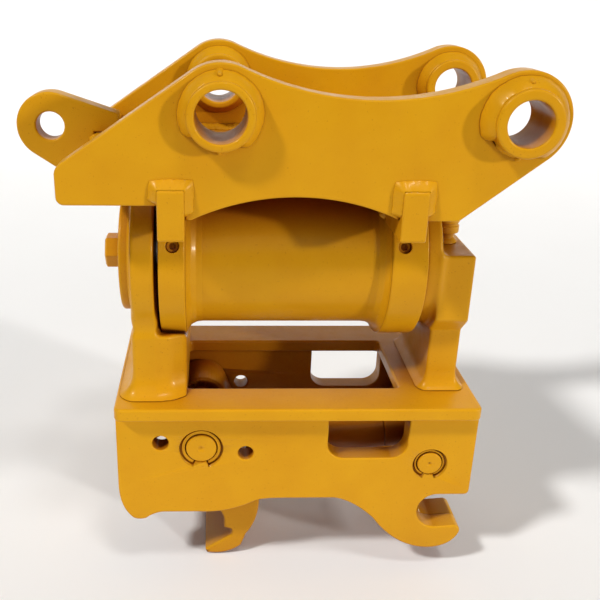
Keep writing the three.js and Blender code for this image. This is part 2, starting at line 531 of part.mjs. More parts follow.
// ---------------------------------------------------------------- moving jaw and its cylinder
function jawShape() {
  const { hubR, back, backZ, throatX, throatZ, throatR } = JAW;
  const throatTop = [throatX - throatR * 0.64, throatZ + throatR * 1.6];
  const left = touchAngle(...throatTop, JAW_PIVOT.x, JAW_PIVOT.z, hubR, -1);
  const right = touchAngle(back, backZ, JAW_PIVOT.x, JAW_PIVOT.z, hubR, 1);
  const floor = throatZ - throatR / 2;
  const shape = new THREE.Shape();
  shape.moveTo(...throatTop);
  shape.absarc(throatX, throatZ, throatR, 2.0, 0, true);
  shape.lineTo(throatX + throatR, throatZ - 10);
  shape.lineTo(throatX + throatR + 10, floor);
  shape.lineTo(throatX + throatR + 10, floor - 8);
  shape.lineTo(JAW_TIP.x, JAW_TIP.z);
  shape.lineTo(JAW_TIP.x + 2, JAW_TIP.z - JAW_TIP.thickness);
  shape.quadraticCurveTo(JAW_TIP.heel - 18, JAW_TIP.heelZ - 16, JAW_TIP.heel, JAW_TIP.heelZ);
  shape.lineTo(JAW_TIP.heel + 6, JAW_TIP.heelZ + 17);
  shape.quadraticCurveTo(back, throatZ, back, backZ);
  shape.absarc(JAW_PIVOT.x, JAW_PIVOT.z, hubR, right, left + 2 * Math.PI);
  return shape;
}

function makeJaw() {
  const half = JAW_HALF;
  const slot = ROD_SLOT_HALF;
  const across = (reach, r) => turnedY(rod(-reach, reach, r), JAW_PIVOT.x, JAW_PIVOT.z);
  let jaw = plateXZ(jawShape(), -half, half, 7).subtract(across(half + CUT, JAW_BUSH_R + GAP));
  jaw = jaw.subtract(turnedY(rod(-half - CUT, half + CUT, ROD_PIN_R + GAP), ROD_PIN.x, ROD_PIN.z));
  const eyeRoom = CYLINDER.eyeR + 4;
  jaw = jaw.subtract(block(ROD_PIN.x - eyeRoom, JAW.back + CUT, -slot, slot,
    ROD_PIN.z - eyeRoom, ROD_PIN.z + CYLINDER.eyeR));
  add('moving_jaw', jaw.subtract(across(slot, JAW.hubR)));
  for (const [word, side] of SIDES) {
    const [y0, y1] = span(side, slot + 3, half - 2);
    const bush = turnedY(sleeve(y0, y1, JAW_PIN_R + GAP, JAW_BUSH_R), JAW_PIVOT.x, JAW_PIVOT.z);
    add(`${word}_jaw_bush`, bush, bronze);
  }
  const inset = half - 8;
  add('rod_pin', turnedY(rod(-inset, inset, ROD_PIN_R), ROD_PIN.x, ROD_PIN.z), steel);
}

function makeCylinder() {
  const dx = ROD_PIN.x - CYLINDER_PIN.x;
  const dz = ROD_PIN.z - CYLINDER_PIN.z;
  const length = Math.hypot(dx, dz);
  const axis = new THREE.Group();
  axis.position.set(CYLINDER_PIN.x, 0, CYLINDER_PIN.z);
  axis.rotation.y = Math.atan2(-dz, dx);
  coupler.add(axis);

  const { eyeR, eyeHalf, neck, from, to, r, bore, glandTo } = CYLINDER;
  const eye = turnedY(rod(-eyeHalf, eyeHalf, eyeR), 0, 0).add(turnedX(rod(neck, from, r)))
    .subtract(turnedY(rod(-r - CUT, r + CUT, CYLINDER_PIN_R + GAP), 0, 0));
  add('cylinder_end_eye', eye, paint, axis);
  add('cylinder_barrel', turnedX(sleeve(from + GAP, to, bore, r)), paint, axis);
  add('cylinder_gland', turnedX([
    [to + GAP, RAM.r + GAP], [to + GAP, r - 2], [glandTo - 3, r - 2], [glandTo, r - 5],
    [glandTo, RAM.r + GAP]]), steel, axis);
  add('cylinder_piston', turnedX(sleeve(RAM.piston0, RAM.piston1, RAM.spigotR, bore - GAP)), steel, axis);
  add('cylinder_rod', turnedX([
    [RAM.tail, 0], [RAM.tail, RAM.spigotR - GAP], [RAM.piston1 + GAP, RAM.spigotR - GAP],
    [RAM.piston1 + GAP, RAM.r], [RAM.end, RAM.r], [RAM.end, 0]]), chrome, axis);
  const rodEye = turnedY(rod(-ROD_EYE.half, ROD_EYE.half, ROD_EYE.r), length, 0)
    .add(turnedX(rod(RAM.end + GAP, length - 10, ROD_EYE.neckR)))
    .subtract(turnedY(rod(-eyeHalf, eyeHalf, ROD_PIN_R + ROD_EYE_PLAY), length, 0));
  add('rod_eye', rodEye, steel, axis);
}

makeEars();
makeLugAndCrossPlates();
makeSaddlePlates();
makeHousing();
makePiston();
makeShaft();
makeUprights();
makeBase();
makeSidePlates();
makeJaw();
makeCylinder();

export default coupler;
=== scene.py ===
"""Looks of the tilting quick coupler, built around the CAD frame.

The pieces are bevelled plates, turned parts, blended uprights and weld beads. Drawing functions work
in millimetres with heights from the tilt axis, as the CAD source does. make() turns them into metres
in the part's own frame.
"""
import math

import bpy
import numpy as np
from mathutils import Matrix, Vector, geometry


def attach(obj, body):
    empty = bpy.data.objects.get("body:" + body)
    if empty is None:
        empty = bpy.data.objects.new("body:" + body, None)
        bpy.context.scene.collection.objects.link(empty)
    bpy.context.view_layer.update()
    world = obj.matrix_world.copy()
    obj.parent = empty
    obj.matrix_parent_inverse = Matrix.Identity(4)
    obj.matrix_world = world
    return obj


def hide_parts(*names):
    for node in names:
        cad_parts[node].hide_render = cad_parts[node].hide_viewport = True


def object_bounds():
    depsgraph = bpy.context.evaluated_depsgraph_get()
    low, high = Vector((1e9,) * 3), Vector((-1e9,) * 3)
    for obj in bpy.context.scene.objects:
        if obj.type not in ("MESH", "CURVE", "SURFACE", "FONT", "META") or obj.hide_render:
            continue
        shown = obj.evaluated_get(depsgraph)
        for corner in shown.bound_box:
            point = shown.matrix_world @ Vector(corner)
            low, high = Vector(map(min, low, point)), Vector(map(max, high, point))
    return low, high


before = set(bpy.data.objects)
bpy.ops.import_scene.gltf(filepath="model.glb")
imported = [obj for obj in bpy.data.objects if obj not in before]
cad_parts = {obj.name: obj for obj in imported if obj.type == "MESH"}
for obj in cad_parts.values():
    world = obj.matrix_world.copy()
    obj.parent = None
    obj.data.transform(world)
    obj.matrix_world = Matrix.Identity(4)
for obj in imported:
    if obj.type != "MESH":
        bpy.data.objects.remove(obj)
cad_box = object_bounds()

MM = 0.001
STICK_PIN_Z = 185.0
GAP = 0.3

# ------------------------------------------------------------------ main sizes, millimetres
STICK = (0.0, 185.0)
LINK = (290.0, 181.0)
STICK_BORE_R = 25.0
LINK_BORE_R = 22.5
BOSS_R = 33.0
BOSS_OUTER = 158.0
BOSS_INNER = 94.0
EAR_OUTER = 138.0
EAR_INNER = 114.0
SADDLE_HALF = 148.0
SADDLE_TOP = 113.0
SADDLE_BOTTOM = 60.0
SADDLES = {"left": (-62.0, -35.0), "right": (179.0, 205.0)}
TUBE_R = 84.0
FLANGE_R = 98.0
FLANGES = {"left": (-66.0, -37.0), "right": (187.0, 226.0)}
FLANGE_HUB = 12.0
UPRIGHT_X = (-97.0, -71.0)
UPRIGHT_R = 96.0
RIGHT_HUB_R = 84.0
FOOT_HALF = 77.0
BASE_TOP = -151.6
BASE_BOTTOM = -167.4
BASE_HALF = 113.0
SIDE_OUTER = 98.0
SIDE_INNER = 73.0
CHEEK_INNER = 42.0
JAW_PIVOT = (-20.0, -213.4)
JAW_HALF = 70.0
ROD_SLOT_HALF = 17.0
CYLINDER_PIN = (253.0, -236.0)
ROD_PIN = (5.0, -262.0)
HOOK = (268.0, -304.0)
HOOK_R = 24.0
SIDES = (("near", -1), ("far", 1))


# ------------------------------------------------------------------ mesh helpers
def make(name, points, faces, body, stands_for=(), material=None, slot="yellow_paint", weighted=True):
    """A mesh piece from points in drawing millimetres, riding on a body."""
    points = np.asarray(points, float) * MM
    points[:, 2] -= STICK_PIN_Z * MM
    mesh = bpy.data.meshes.new(name)
    mesh.from_pydata([tuple(p) for p in points], [], [tuple(f) for f in faces])
    mesh.validate()
    piece = bpy.data.objects.new(name, mesh)
    bpy.context.scene.collection.objects.link(piece)
    face_out(mesh)
    return dress(piece, body, stands_for, material or PAINT, weighted)


def dress(piece, body, stands_for, material, weighted=True):
    mesh = piece.data
    mesh.materials.clear()
    mesh.materials.append(material)
    mesh.shade_smooth()
    if weighted:
        piece.modifiers.new("even_normals", "WEIGHTED_NORMAL")
    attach(piece, body)
    if stands_for:
        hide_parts(*stands_for)
    return piece


def face_out(mesh):
    """Turns the faces so that they point out of a closed mesh."""
    volume = 0.0
    for polygon in mesh.polygons:
        corners = [mesh.vertices[i].co for i in polygon.vertices]
        for a, b in zip(corners[1:], corners[2:]):
            volume += corners[0].dot(a.cross(b))
    if volume < 0:
        mesh.flip_normals()


def arc(centre, radius, start, end, step=3.0):
    """Points on an arc, angles in degrees; it runs clockwise when end is below start."""
    count = max(2, int(abs(end - start) / step) + 1)
    angles = np.radians(np.linspace(start, end, count))
    return [(centre[0] + radius * math.cos(t), centre[1] + radius * math.sin(t)) for t in angles]


def curve(p0, p1, p2, count=12):
    """Quadratic curve from p0 to p2 drawn towards p1."""
    found = []
    for t in np.linspace(0, 1, count):
        u = 1 - t
        found.append(tuple(u * u * a + 2 * u * t * b + t * t * c for a, b, c in zip(p0, p1, p2)))
    return found


def softened(corners, default=2.0, steps=5):
    """A polygon of (u, v) or (u, v, radius) corners with each corner rounded."""
    found = []
    count = len(corners)
    for i, corner in enumerate(corners):
        here = Vector(corner[:2])
        before = Vector(corners[i - 1][:2])
        after = Vector(corners[(i + 1) % count][:2])
        radius = corner[2] if len(corner) > 2 else default
        back, on = (before - here), (after - here)
        if radius <= 0 or back.length < 1e-6 or on.length < 1e-6:
            found.append(tuple(here))
            continue
        half = back.angle(on) / 2
        if half > math.radians(88):
            found.append(tuple(here))
            continue
        reach = min(radius / math.tan(half), 0.49 * back.length, 0.49 * on.length)
        start, end = here + back.normalized() * reach, here + on.normalized() * reach
        found += curve(tuple(start), tuple(here), tuple(end), steps)
    return found


def cleaned(loop):
    """The loop without doubled points, running anticlockwise."""
    kept = []
    for p in loop:
        if not kept or math.dist(p, kept[-1]) > 0.02:
            kept.append(tuple(p))
    if math.dist(kept[0], kept[-1]) < 0.02:
        kept.pop()
    ring = np.array(kept, float)
    nxt = np.roll(ring, -1, axis=0)
    if np.sum(ring[:, 0] * nxt[:, 1] - nxt[:, 0] * ring[:, 1]) < 0:
        ring = ring[::-1]
    return ring


def inset(ring, distance):
    """The ring moved to its left by distance, with mitred corners."""
    back, on = np.roll(ring, 1, axis=0), np.roll(ring, -1, axis=0)
    d1, d2 = ring - back, on - ring
    d1 /= np.linalg.norm(d1, axis=1)[:, None]
    d2 /= np.linalg.norm(d2, axis=1)[:, None]
    n1 = np.stack([-d1[:, 1], d1[:, 0]], axis=1)
    n2 = np.stack([-d2[:, 1], d2[:, 0]], axis=1)
    share = np.maximum(1 + np.sum(n1 * n2, axis=1), 0.4)
    return ring + distance * (n1 + n2) / share[:, None]


PLANES = {
    "XZ": lambda u, v, w: (u, w, v),
    "YZ": lambda u, v, w: (w, u, v),
    "XY": lambda u, v, w: (u, v, w)}


def plate_mesh(outer, plane, w0, w1, bevel=1.5, holes=(), steps=4, both=True):
    """Points and faces of a flat plate with rounded edges. both=False leaves the w1 side's edges sharp."""
    place = PLANES[plane]
    rings = [cleaned(outer)] + [cleaned(h)[::-1] for h in holes]
    turn = [math.pi / 2 * k / steps for k in range(steps + 1)]
    layers = [(w0 + bevel * (1 - math.sin(t)), bevel * (1 - math.cos(t))) for t in reversed(turn)]
    if both:
        layers += [(w1 - bevel * (1 - math.sin(t)), bevel * (1 - math.cos(t))) for t in turn]
    else:
        layers.append((w1, 0.0))
    points, faces, caps = [], [], ([], [])
    for ring in rings:
        count = len(ring)
        first = len(points)
        for w, depth in layers:
            points += [place(u, v, w) for u, v in inset(ring, depth)]
        for k in range(len(layers) - 1):
            for i in range(count):
                j = (i + 1) % count
                a, b = first + k * count, first + (k + 1) * count
                faces.append((a + i, a + j, b + j, b + i))
        caps[0].append(list(range(first, first + count)))
        last = first + (len(layers) - 1) * count
        caps[1].append(list(range(last, last + count)))
    for loops, flip in zip(caps, (True, False)):
        flat = {"XZ": (0, 2), "YZ": (1, 2), "XY": (0, 1)}[plane]
        shape = [[Vector((points[i][flat[0]], points[i][flat[1]], 0)) for i in loop] for loop in loops]
        index = [i for loop in loops for i in loop]
        for a, b, c in geometry.tessellate_polygon(shape):
            pa, pb, pc = shape_point(shape, a), shape_point(shape, b), shape_point(shape, c)
            up = (pb - pa).cross(pc - pa).z > 0
            order = (a, b, c) if up != flip else (c, b, a)
            faces.append(tuple(index[i] for i in order))
    return points, faces


def shape_point(shape, index):
    for loop in shape:
        if index < len(loop):
            return loop[index]
        index -= len(loop)
    raise IndexError(index)


def plate(name, outer, plane, w0, w1, body, stands_for=(), bevel=1.5, holes=(), both=True, **rest):
    points, faces = plate_mesh(outer, plane, w0, w1, bevel, holes, both=both)
    return make(name, points, faces, body, stands_for, **rest)


def turned_mesh(profile, axis, centre=(0.0, 0.0), steps=96, rounding=1.0):
    """Points and faces of a profile of (along, radius[, rounding]) corners turned about X, Y or Z."""
    on_axis = profile[0][1] == 0
    if on_axis:
        first, last = [(profile[i][0], -5.0, 0) for i in (0, -1)]
        body = softened([first] + list(profile[1:-1]) + [last], rounding)
        ring = [p for p in body if p[1] > 0]
        ring = [(profile[0][0], 0.0)] + ring + [(profile[-1][0], 0.0)]
    else:
        ring = softened(list(profile), rounding)
    place = {
        "X": lambda w, u, v: (w, centre[0] + u, centre[1] + v),
        "Y": lambda w, u, v: (centre[0] + u, w, centre[1] + v),
        "Z": lambda w, u, v: (centre[0] + u, centre[1] + v, w)}[axis]
    points, rows = [], []
    for along, radius in ring:
        if radius == 0:
            rows.append([len(points)] * steps)
            points.append(place(along, 0.0, 0.0))
            continue
        rows.append(list(range(len(points), len(points) + steps)))
        for k in range(steps):
            t = 2 * math.pi * k / steps
            points.append(place(along, radius * math.cos(t), radius * math.sin(t)))
    faces = []
    pairs = list(zip(rows, rows[1:])) if on_axis else list(zip(rows, rows[1:] + rows[:1]))
    for a, b in pairs:
        for i in range(steps):
            j = (i + 1) % steps
            face = []
            for index in (a[i], a[j], b[j], b[i]):
                if index not in face:
                    face.append(index)
            if len(face) > 2:
                faces.append(face)
    return points, faces


def turned(name, profile, axis, body, stands_for=(), centre=(0.0, 0.0), steps=96, rounding=1.0, **rest):
    """A turned piece; see turned_mesh."""
    points, faces = turned_mesh(profile, axis, centre, steps, rounding)
    return make(name, points, faces, body, stands_for, **rest)


def tool(points, faces):
    """A hidden cutter object from drawing millimetres."""
    scaled = np.asarray(points, float) * MM
    scaled[:, 2] -= STICK_PIN_Z * MM
    mesh = bpy.data.meshes.new("tool")
    mesh.from_pydata([tuple(p) for p in scaled], [], [tuple(f) for f in faces])
    face_out(mesh)
    cutter = bpy.data.objects.new("tool", mesh)
    bpy.context.scene.collection.objects.link(cutter)
    return cutter


def cut(piece, cutter):
    """Takes the cutter's shape out of the piece's mesh and removes the cutter."""
    modifiers = [(m.name, m.type) for m in piece.modifiers]
    piece.modifiers.clear()
    boolean = piece.modifiers.new("cut", "BOOLEAN")
    boolean.operation = "DIFFERENCE"
    boolean.object = cutter
    boolean.solver = "EXACT"
    bpy.context.view_layer.update()
    depsgraph = bpy.context.evaluated_depsgraph_get()
    result = bpy.data.meshes.new_from_object(piece.evaluated_get(depsgraph))
    piece.modifiers.clear()
    piece.data = result
    result.shade_smooth()
    bpy.data.objects.remove(cutter)
    for name, kind in modifiers:
        piece.modifiers.new(name, kind)
    return piece


# ------------------------------------------------------------------ rounded solids from distance fields
FIELD_STEP = 1.8


def box_field(p, low, high, rounding=2.0):
    low, high = np.array(low, float), np.array(high, float)
    q = np.abs(p - (low + high) / 2) - ((high - low) / 2 - rounding)
    outside = np.linalg.norm(np.maximum(q, 0), axis=-1)
    return outside + np.minimum(np.max(q, axis=-1), 0) - rounding


def disc_field(p, radius, x0, x1, rounding=2.0):
    """Cylinder about the X axis."""
    q = np.stack([
        np.hypot(p[..., 1], p[..., 2]) - radius + rounding,
        np.abs(p[..., 0] - (x0 + x1) / 2) - (x1 - x0) / 2 + rounding], axis=-1)
    return np.linalg.norm(np.maximum(q, 0), axis=-1) + np.minimum(np.max(q, axis=-1), 0) - rounding


def plane_field(p, point, normal):
    n = np.array(normal, float)
    n /= np.linalg.norm(n)
    return (p - np.array(point, float)) @ n


def join(a, b, k):
    """Smooth union: k is about the fillet radius."""
    h = np.maximum(k - np.abs(a - b), 0) / k
    return np.minimum(a, b) - h * h * k / 4


def keep(a, b, k):
    """Smooth intersection."""
    return -join(-a, -b, k)


def field_mesh(field, low, high, step):
    """Points and quads of the surface where field(points) is zero."""
    low = np.array(low, float)
    counts = np.ceil((np.array(high, float) - low) / step).astype(int) + 1
    marks = [low[i] + step * np.arange(counts[i]) for i in range(3)]
    grid = np.stack(np.meshgrid(*marks, indexing="ij"), axis=-1)
    value = field(grid)
    inside = value < 0
    cells = tuple(counts - 1)
    total = np.zeros(cells)
    place = np.zeros(cells + (3,))
    span = [slice(0, -1), slice(1, None)]
    for axis in range(3):
        for s in (0, 1):
            for t in (0, 1):
                a, b = [0, 0, 0], [0, 0, 0]
                others = [i for i in range(3) if i != axis]
                a[others[0]] = b[others[0]] = s
                a[others[1]] = b[others[1]] = t
                b[axis] = 1
                va = value[tuple(span[i] for i in a)]
                vb = value[tuple(span[i] for i in b)]
                crossing = (va < 0) != (vb < 0)
                share = np.where(crossing, va / np.where(crossing, va - vb, 1.0), 0.0)
                total += crossing
                for i in range(3):
                    place[..., i] += crossing * (a[i] + (share if i == axis else 0.0))
    used = total > 0
    index = -np.ones(cells, int)
    index[used] = np.arange(np.count_nonzero(used))
    corner = np.stack(np.nonzero(used), axis=-1)
    points = low + step * (corner + place[used] / total[used][:, None])
    faces = []
    for axis in range(3):
        u, v = [(1, 2), (2, 0), (0, 1)][axis]
        a = [slice(None)] * 3
        a[axis] = slice(0, -1)
        b = [slice(None)] * 3
        b[axis] = slice(1, None)
        first, second = inside[tuple(a)], inside[tuple(b)]
        for way in (True, False):
            edges = np.stack(np.nonzero((first == way) & (second != way)), axis=-1)
            edges = edges[(edges[:, u] > 0) & (edges[:, v] > 0)]
            edges = edges[(edges[:, u] < cells[u]) & (edges[:, v] < cells[v])]
            ring = []
            for du, dv in ((-1, -1), (0, -1), (0, 0), (-1, 0)):
                shifted = edges.copy()
                shifted[:, u] += du
                shifted[:, v] += dv
                ring.append(index[shifted[:, 0], shifted[:, 1], shifted[:, 2]])
            quads = np.stack(ring if way else ring[::-1], axis=-1)
            faces.append(quads[np.all(quads >= 0, axis=1)])
    reach = 0.05
    for _ in range(3):
        here = field(points)
        steps = [(field(points + reach * e) - field(points - reach * e)) / (2 * reach) for e in np.eye(3)]
        slope = np.stack(steps, axis=-1)
        points -= (here / np.maximum(np.sum(slope * slope, axis=-1), 0.2))[:, None] * slope
    return points, np.concatenate(faces)


def blended(name, field, low, high, body, stands_for):
    """A piece whose surface is where field is zero, between the corners low and high."""
    points, faces = field_mesh(field, low, high, FIELD_STEP)
    return make(name, points, faces.tolist(), body, stands_for, weighted=False)


# ------------------------------------------------------------------ weld beads
BEAD_PITCH = 1.3
RIPPLE_SPACING = 4.2
TOE_SUNK = 0.5


def wobble(s, seed):
    """Smooth, repeatable unevenness between about -1 and 1 along a length in millimetres."""
    waves = ((0.31, 1.7), (0.83, 4.1), (0.127, 1.0))
    return sum(math.sin(s * pace + seed * shift) for pace, shift in waves) / 3


def resampled(path, pitch):
    """Points and directions at an even pitch along a path of (point, along_a, along_b) stations."""
    found = []
    for (p0, a0, b0), (p1, a1, b1) in zip(path, path[1:]):
        p0, p1 = Vector(p0), Vector(p1)
        count = max(1, int((p1 - p0).length / pitch))
        for k in range(count):
            t = k / count
            found.append((p0.lerp(p1, t), Vector(a0).lerp(Vector(a1), t), Vector(b0).lerp(Vector(b1), t)))
    last = path[-1]
    found.append((Vector(last[0]), Vector(last[1]), Vector(last[2])))
    return found


def bead(name, path, body, leg_a=8.0, leg_b=8.0, bulge=0.12, ripple=0.05, uneven=0.12,
         closed=False, seed=1.0):
    """A fillet weld along stations: point in the corner, direction up one face, direction up the other."""
    pitch, spacing, sunk = BEAD_PITCH, RIPPLE_SPACING, TOE_SUNK
    stations = resampled(path, pitch)
    if closed:
        stations = stations[:-1]
    across = 9
    points, faces = [], []
    travelled = 0.0
    whole = len(stations)
    for i, (p, a, b) in enumerate(stations):
        if i:
            travelled += (p - stations[i - 1][0]).length
        end = 1.0
        if not closed:
            from_end = min(i, whole - 1 - i) * pitch
            end = math.sin(min(1.0, (from_end + 0.4) / 6.0) * math.pi / 2)
        phase = (travelled % spacing) / spacing
        scallop = 1 + ripple * (math.sin(math.pi * phase) - 0.6)
        width_a = leg_a * end * scallop * (1 + uneven * wobble(travelled, seed))
        width_b = leg_b * end * scallop * (1 + uneven * wobble(travelled, seed + 2.3))
        top, side = a * width_a, b * width_b
        chord = side - top
        outward = (a + b).normalized()
        for k in range(across):
            t = k / (across - 1)
            lag = 1.2 * math.sin(math.pi * t)
            ring_phase = ((travelled + lag) % spacing) / spacing
            rippled = 1 + ripple * 3 * (math.sin(math.pi * ring_phase) - 0.6)
            lift = bulge * 4 * t * (1 - t) * chord.length * rippled
            points.append(p - outward * sunk + top + chord * t + outward * lift)
        points.append(p - (a + b) * 1.0)
    row = across + 1
    last = whole if closed else whole - 1
    for i in range(last):
        j = (i + 1) % whole
        for k in range(row):
            m = (k + 1) % row
            faces.append((i * row + k, i * row + m, j * row + m, j * row + k))
    if not closed:
        faces.append(tuple(range(row)))
        faces.append(tuple(reversed(range((whole - 1) * row, whole * row))))
    return make(name, [tuple(p) for p in points], faces, body, material=WELD_PAINT, weighted=False)


# ------------------------------------------------------------------ materials
def node(tree, kind, **values):
    made = tree.nodes.new(kind)
    for key, value in values.items():
        if key in made.inputs:
            made.inputs[key].default_value = value
        else:
            setattr(made, key, value)
    return made


def noise_of(tree, coordinates, scale, detail=3.0):
    found = node(tree, "ShaderNodeTexNoise", Scale=scale, Detail=detail, Roughness=0.55)
    tree.links.new(coordinates, found.inputs["Vector"])
    return found.outputs["Fac"]


def ranged(tree, value, low, high, start=0.3, end=0.7):
    found = node(tree, "ShaderNodeMapRange")
    for key, number in (("From Min", start), ("From Max", end), ("To Min", low), ("To Max", high)):
        found.inputs[key].default_value = number
    tree.links.new(value, found.inputs["Value"])
    return found.outputs["Result"]


def mixed(tree, factor, a, b):
    found = node(tree, "ShaderNodeMix", data_type="RGBA")
    for socket, value in ((found.inputs[0], factor), (found.inputs[6], a), (found.inputs[7], b)):
        if isinstance(value, bpy.types.NodeSocket):
            tree.links.new(value, socket)
        elif socket == found.inputs[0]:
            socket.default_value = value
        else:
            socket.default_value = (*value, 1.0)
    return found.outputs[2]


def bumped(tree, height, strength, distance, normal=None):
    found = node(tree, "ShaderNodeBump", Strength=strength, Distance=distance)
    tree.links.new(height, found.inputs["Height"])
    if normal is not None:
        tree.links.new(normal, found.inputs["Normal"])
    return found.outputs["Normal"]


def surface(name):
    material = bpy.data.materials.new(name)
    material.use_nodes = True
    tree = material.node_tree
    shader = tree.nodes["Principled BSDF"]
    coordinates = node(tree, "ShaderNodeTexCoord").outputs["Object"]
    return material, tree, shader, coordinates


def painted(name, waviness, peel):
    """Glossy enamel: slow colour drift, small dark specks, painted shade that turns the paint browner in the
    corners and enclosed hollows, orange peel and rolling waviness.
    """
    # The third colour is the dark brown used both for the small specks and for the painted shade in corners.
    light, deep, speck_and_painted_shade = (0.71, 0.345, 0.006), (0.66, 0.30, 0.005), (0.27, 0.055, 0.003)
    material, tree, shader, at = surface(name)
    drift = ranged(tree, noise_of(tree, at, 14.0, 4.0), 0.0, 1.0)
    colour = mixed(tree, drift, deep, light)
    speck = ranged(tree, noise_of(tree, at, 420.0, 2.0), 0.0, 1.0, 0.66, 0.74)
    colour = mixed(tree, ranged(tree, speck, 0.0, 0.35, 0.0, 1.0), colour, speck_and_painted_shade)
    # Painted shade: an ambient occlusion mask blends the paint towards the dark brown colour in corners,
    # creases and the enclosed interior, where shade falls.
    corner = node(tree, "ShaderNodeAmbientOcclusion", Distance=0.22, samples=8)
    colour = mixed(tree, ranged(tree, corner.outputs["AO"], 0.97, 0.0, 0.14, 0.7), colour, speck_and_painted_shade)
    tree.links.new(colour, shader.inputs["Base Color"])
    tree.links.new(ranged(tree, noise_of(tree, at, 60.0, 5.0), 0.28, 0.46), shader.inputs["Roughness"])
    rolling = bumped(tree, noise_of(tree, at, 38.0, 2.0), waviness, 0.002)
    fine = bumped(tree, noise_of(tree, at, 900.0, 2.0), peel, 0.0002, rolling)
    tree.links.new(fine, shader.inputs["Normal"])
    shader.inputs["Specular IOR Level"].default_value = 0.24
    shader.inputs["Specular Tint"].default_value = (1.0, 0.82, 0.45, 1.0)
    shader.inputs["Coat Weight"].default_value = 0.06
    shader.inputs["Coat Roughness"].default_value = 0.1
    return material


def metal(name, colour, worn, roughness, grain=(900.0, 60.0, 900.0)):
    """Machined metal: fine turning marks and a slightly darker, oiled patchiness."""
    material, tree, shader, at = surface(name)
    stretch = node(tree, "ShaderNodeMapping", Scale=grain)
    tree.links.new(at, stretch.inputs["Vector"])
    marks = noise_of(tree, stretch.outputs["Vector"], 1.0, 2.0)
    patch = ranged(tree, noise_of(tree, at, 45.0, 4.0), 0.0, 1.0)
    tree.links.new(mixed(tree, patch, worn, colour), shader.inputs["Base Color"])
    tree.links.new(ranged(tree, marks, roughness * 0.8, roughness * 1.3), shader.inputs["Roughness"])
    tree.links.new(bumped(tree, marks, 0.25, 0.0001), shader.inputs["Normal"])
    shader.inputs["Metallic"].default_value = 1.0
    return material


def sealing(name):
    material, tree, shader, at = surface(name)
    dusty = ranged(tree, noise_of(tree, at, 180.0, 4.0), 0.0, 1.0)
    clean, dust = (0.012, 0.012, 0.013), (0.045, 0.043, 0.04)
    tree.links.new(mixed(tree, dusty, clean, dust), shader.inputs["Base Color"])
    tree.links.new(ranged(tree, dusty, 0.5, 0.75, 0.0, 1.0), shader.inputs["Roughness"])
    tree.links.new(bumped(tree, noise_of(tree, at, 1500.0), 0.2, 0.0001), shader.inputs["Normal"])
    return material


PAINT = painted("yellow_paint", 0.16, 0.06)
WELD_PAINT = painted("yellow_paint_on_welds", 0.35, 0.10)
STEEL = metal("bare_steel", (0.55, 0.55, 0.56), (0.36, 0.35, 0.34), 0.3)
CHROME = metal("chrome_rod", (0.82, 0.83, 0.85), (0.74, 0.75, 0.78), 0.1, (200.0, 1500.0, 1500.0))
BRONZE = metal("bronze", (0.63, 0.42, 0.18), (0.42, 0.26, 0.11), 0.35)
RUBBER = sealing("seal_rubber")


# ------------------------------------------------------------------ upper frame
def touch_angle(point, centre, radius, side):
    """Angle in degrees, from the circle's centre, of where a line from the point touches the circle."""
    du, dv = point[0] - centre[0], point[1] - centre[1]
    return math.degrees(math.atan2(dv, du) + side * math.acos(radius / math.hypot(du, dv)))


def ear_outline():
    """An ear's edge: two round heads, the dip between them, the tail, the saddle slots and the arch."""
    head, dip_r = 47.7, 305.0
    foot, left_top, left_bottom = (239.0, 80.0), (-161.0, 133.0), (-161.0, 94.5)
    reach = head + dip_r
    between = math.dist(STICK, LINK)
    lean = math.degrees(math.atan2(LINK[1] - STICK[1], LINK[0] - STICK[0]))
    to_dip = lean + math.degrees(math.acos(between / 2 / reach))
    dip = arc(STICK, reach, to_dip, to_dip)[0]
    from_link = math.degrees(math.atan2(dip[1] - LINK[1], dip[0] - LINK[0]))
    arch, arch_r = (76.0, -136.0), 240.0
    arch_span = math.degrees(math.asin((foot[1] - arch[1]) / arch_r))
    slot = SADDLE_TOP + GAP
    (l0, l1), (r0, r1) = SADDLES["left"], SADDLES["right"]
    outline = [foot]
    outline += arc(LINK, head, touch_angle(foot, LINK, head, 1), from_link)
    outline += arc(dip, dip_r, from_link + 180, to_dip + 180, 1.0)
    outline += arc(STICK, head, to_dip, touch_angle(left_top, STICK, head, -1) % 360)
    u, v = left_top
    outline += curve((u + 10, v + 5.5), (u + 1, v + 1), (u, v - 7), 6)
    outline += arc((left_bottom[0] + 8, left_bottom[1] + 8), 8.0, 180, 270, 15)
    outline += [(l0 - GAP, left_bottom[1]), (l0 - GAP, slot), (l1 + GAP, slot), (l1 + GAP, foot[1])]
    arched = arc(arch, arch_r, 180 - arch_span, arch_span, 1.5)
    outline += [p for p in arched if p[0] < r0 - GAP - 0.5]
    outline += [(r0 - GAP, foot[1] + 1), (r0 - GAP, slot), (r1 + GAP, slot), (r1 + GAP, foot[1])]
    return outline


def around(centre, radius, y, way, start, end):
    """Stations of a weld around a round boss: outwards over the plate, and along Y up the boss."""
    seam, outwards = (arc(at, r, start, end, 4.0) for at, r in ((centre, radius), ((0, 0), 1.0)))
    return [((u, y, v), (a, 0, b), (0, way, 0)) for (u, v), (a, b) in zip(seam, outwards)]


SMOOTH = {"ripple": 0.012, "uneven": 0.05}
BOSSES = (("stick", STICK, STICK_BORE_R, 9.5, (-62, 222)), ("link", LINK, LINK_BORE_R, 11.5, (-70, 215)))


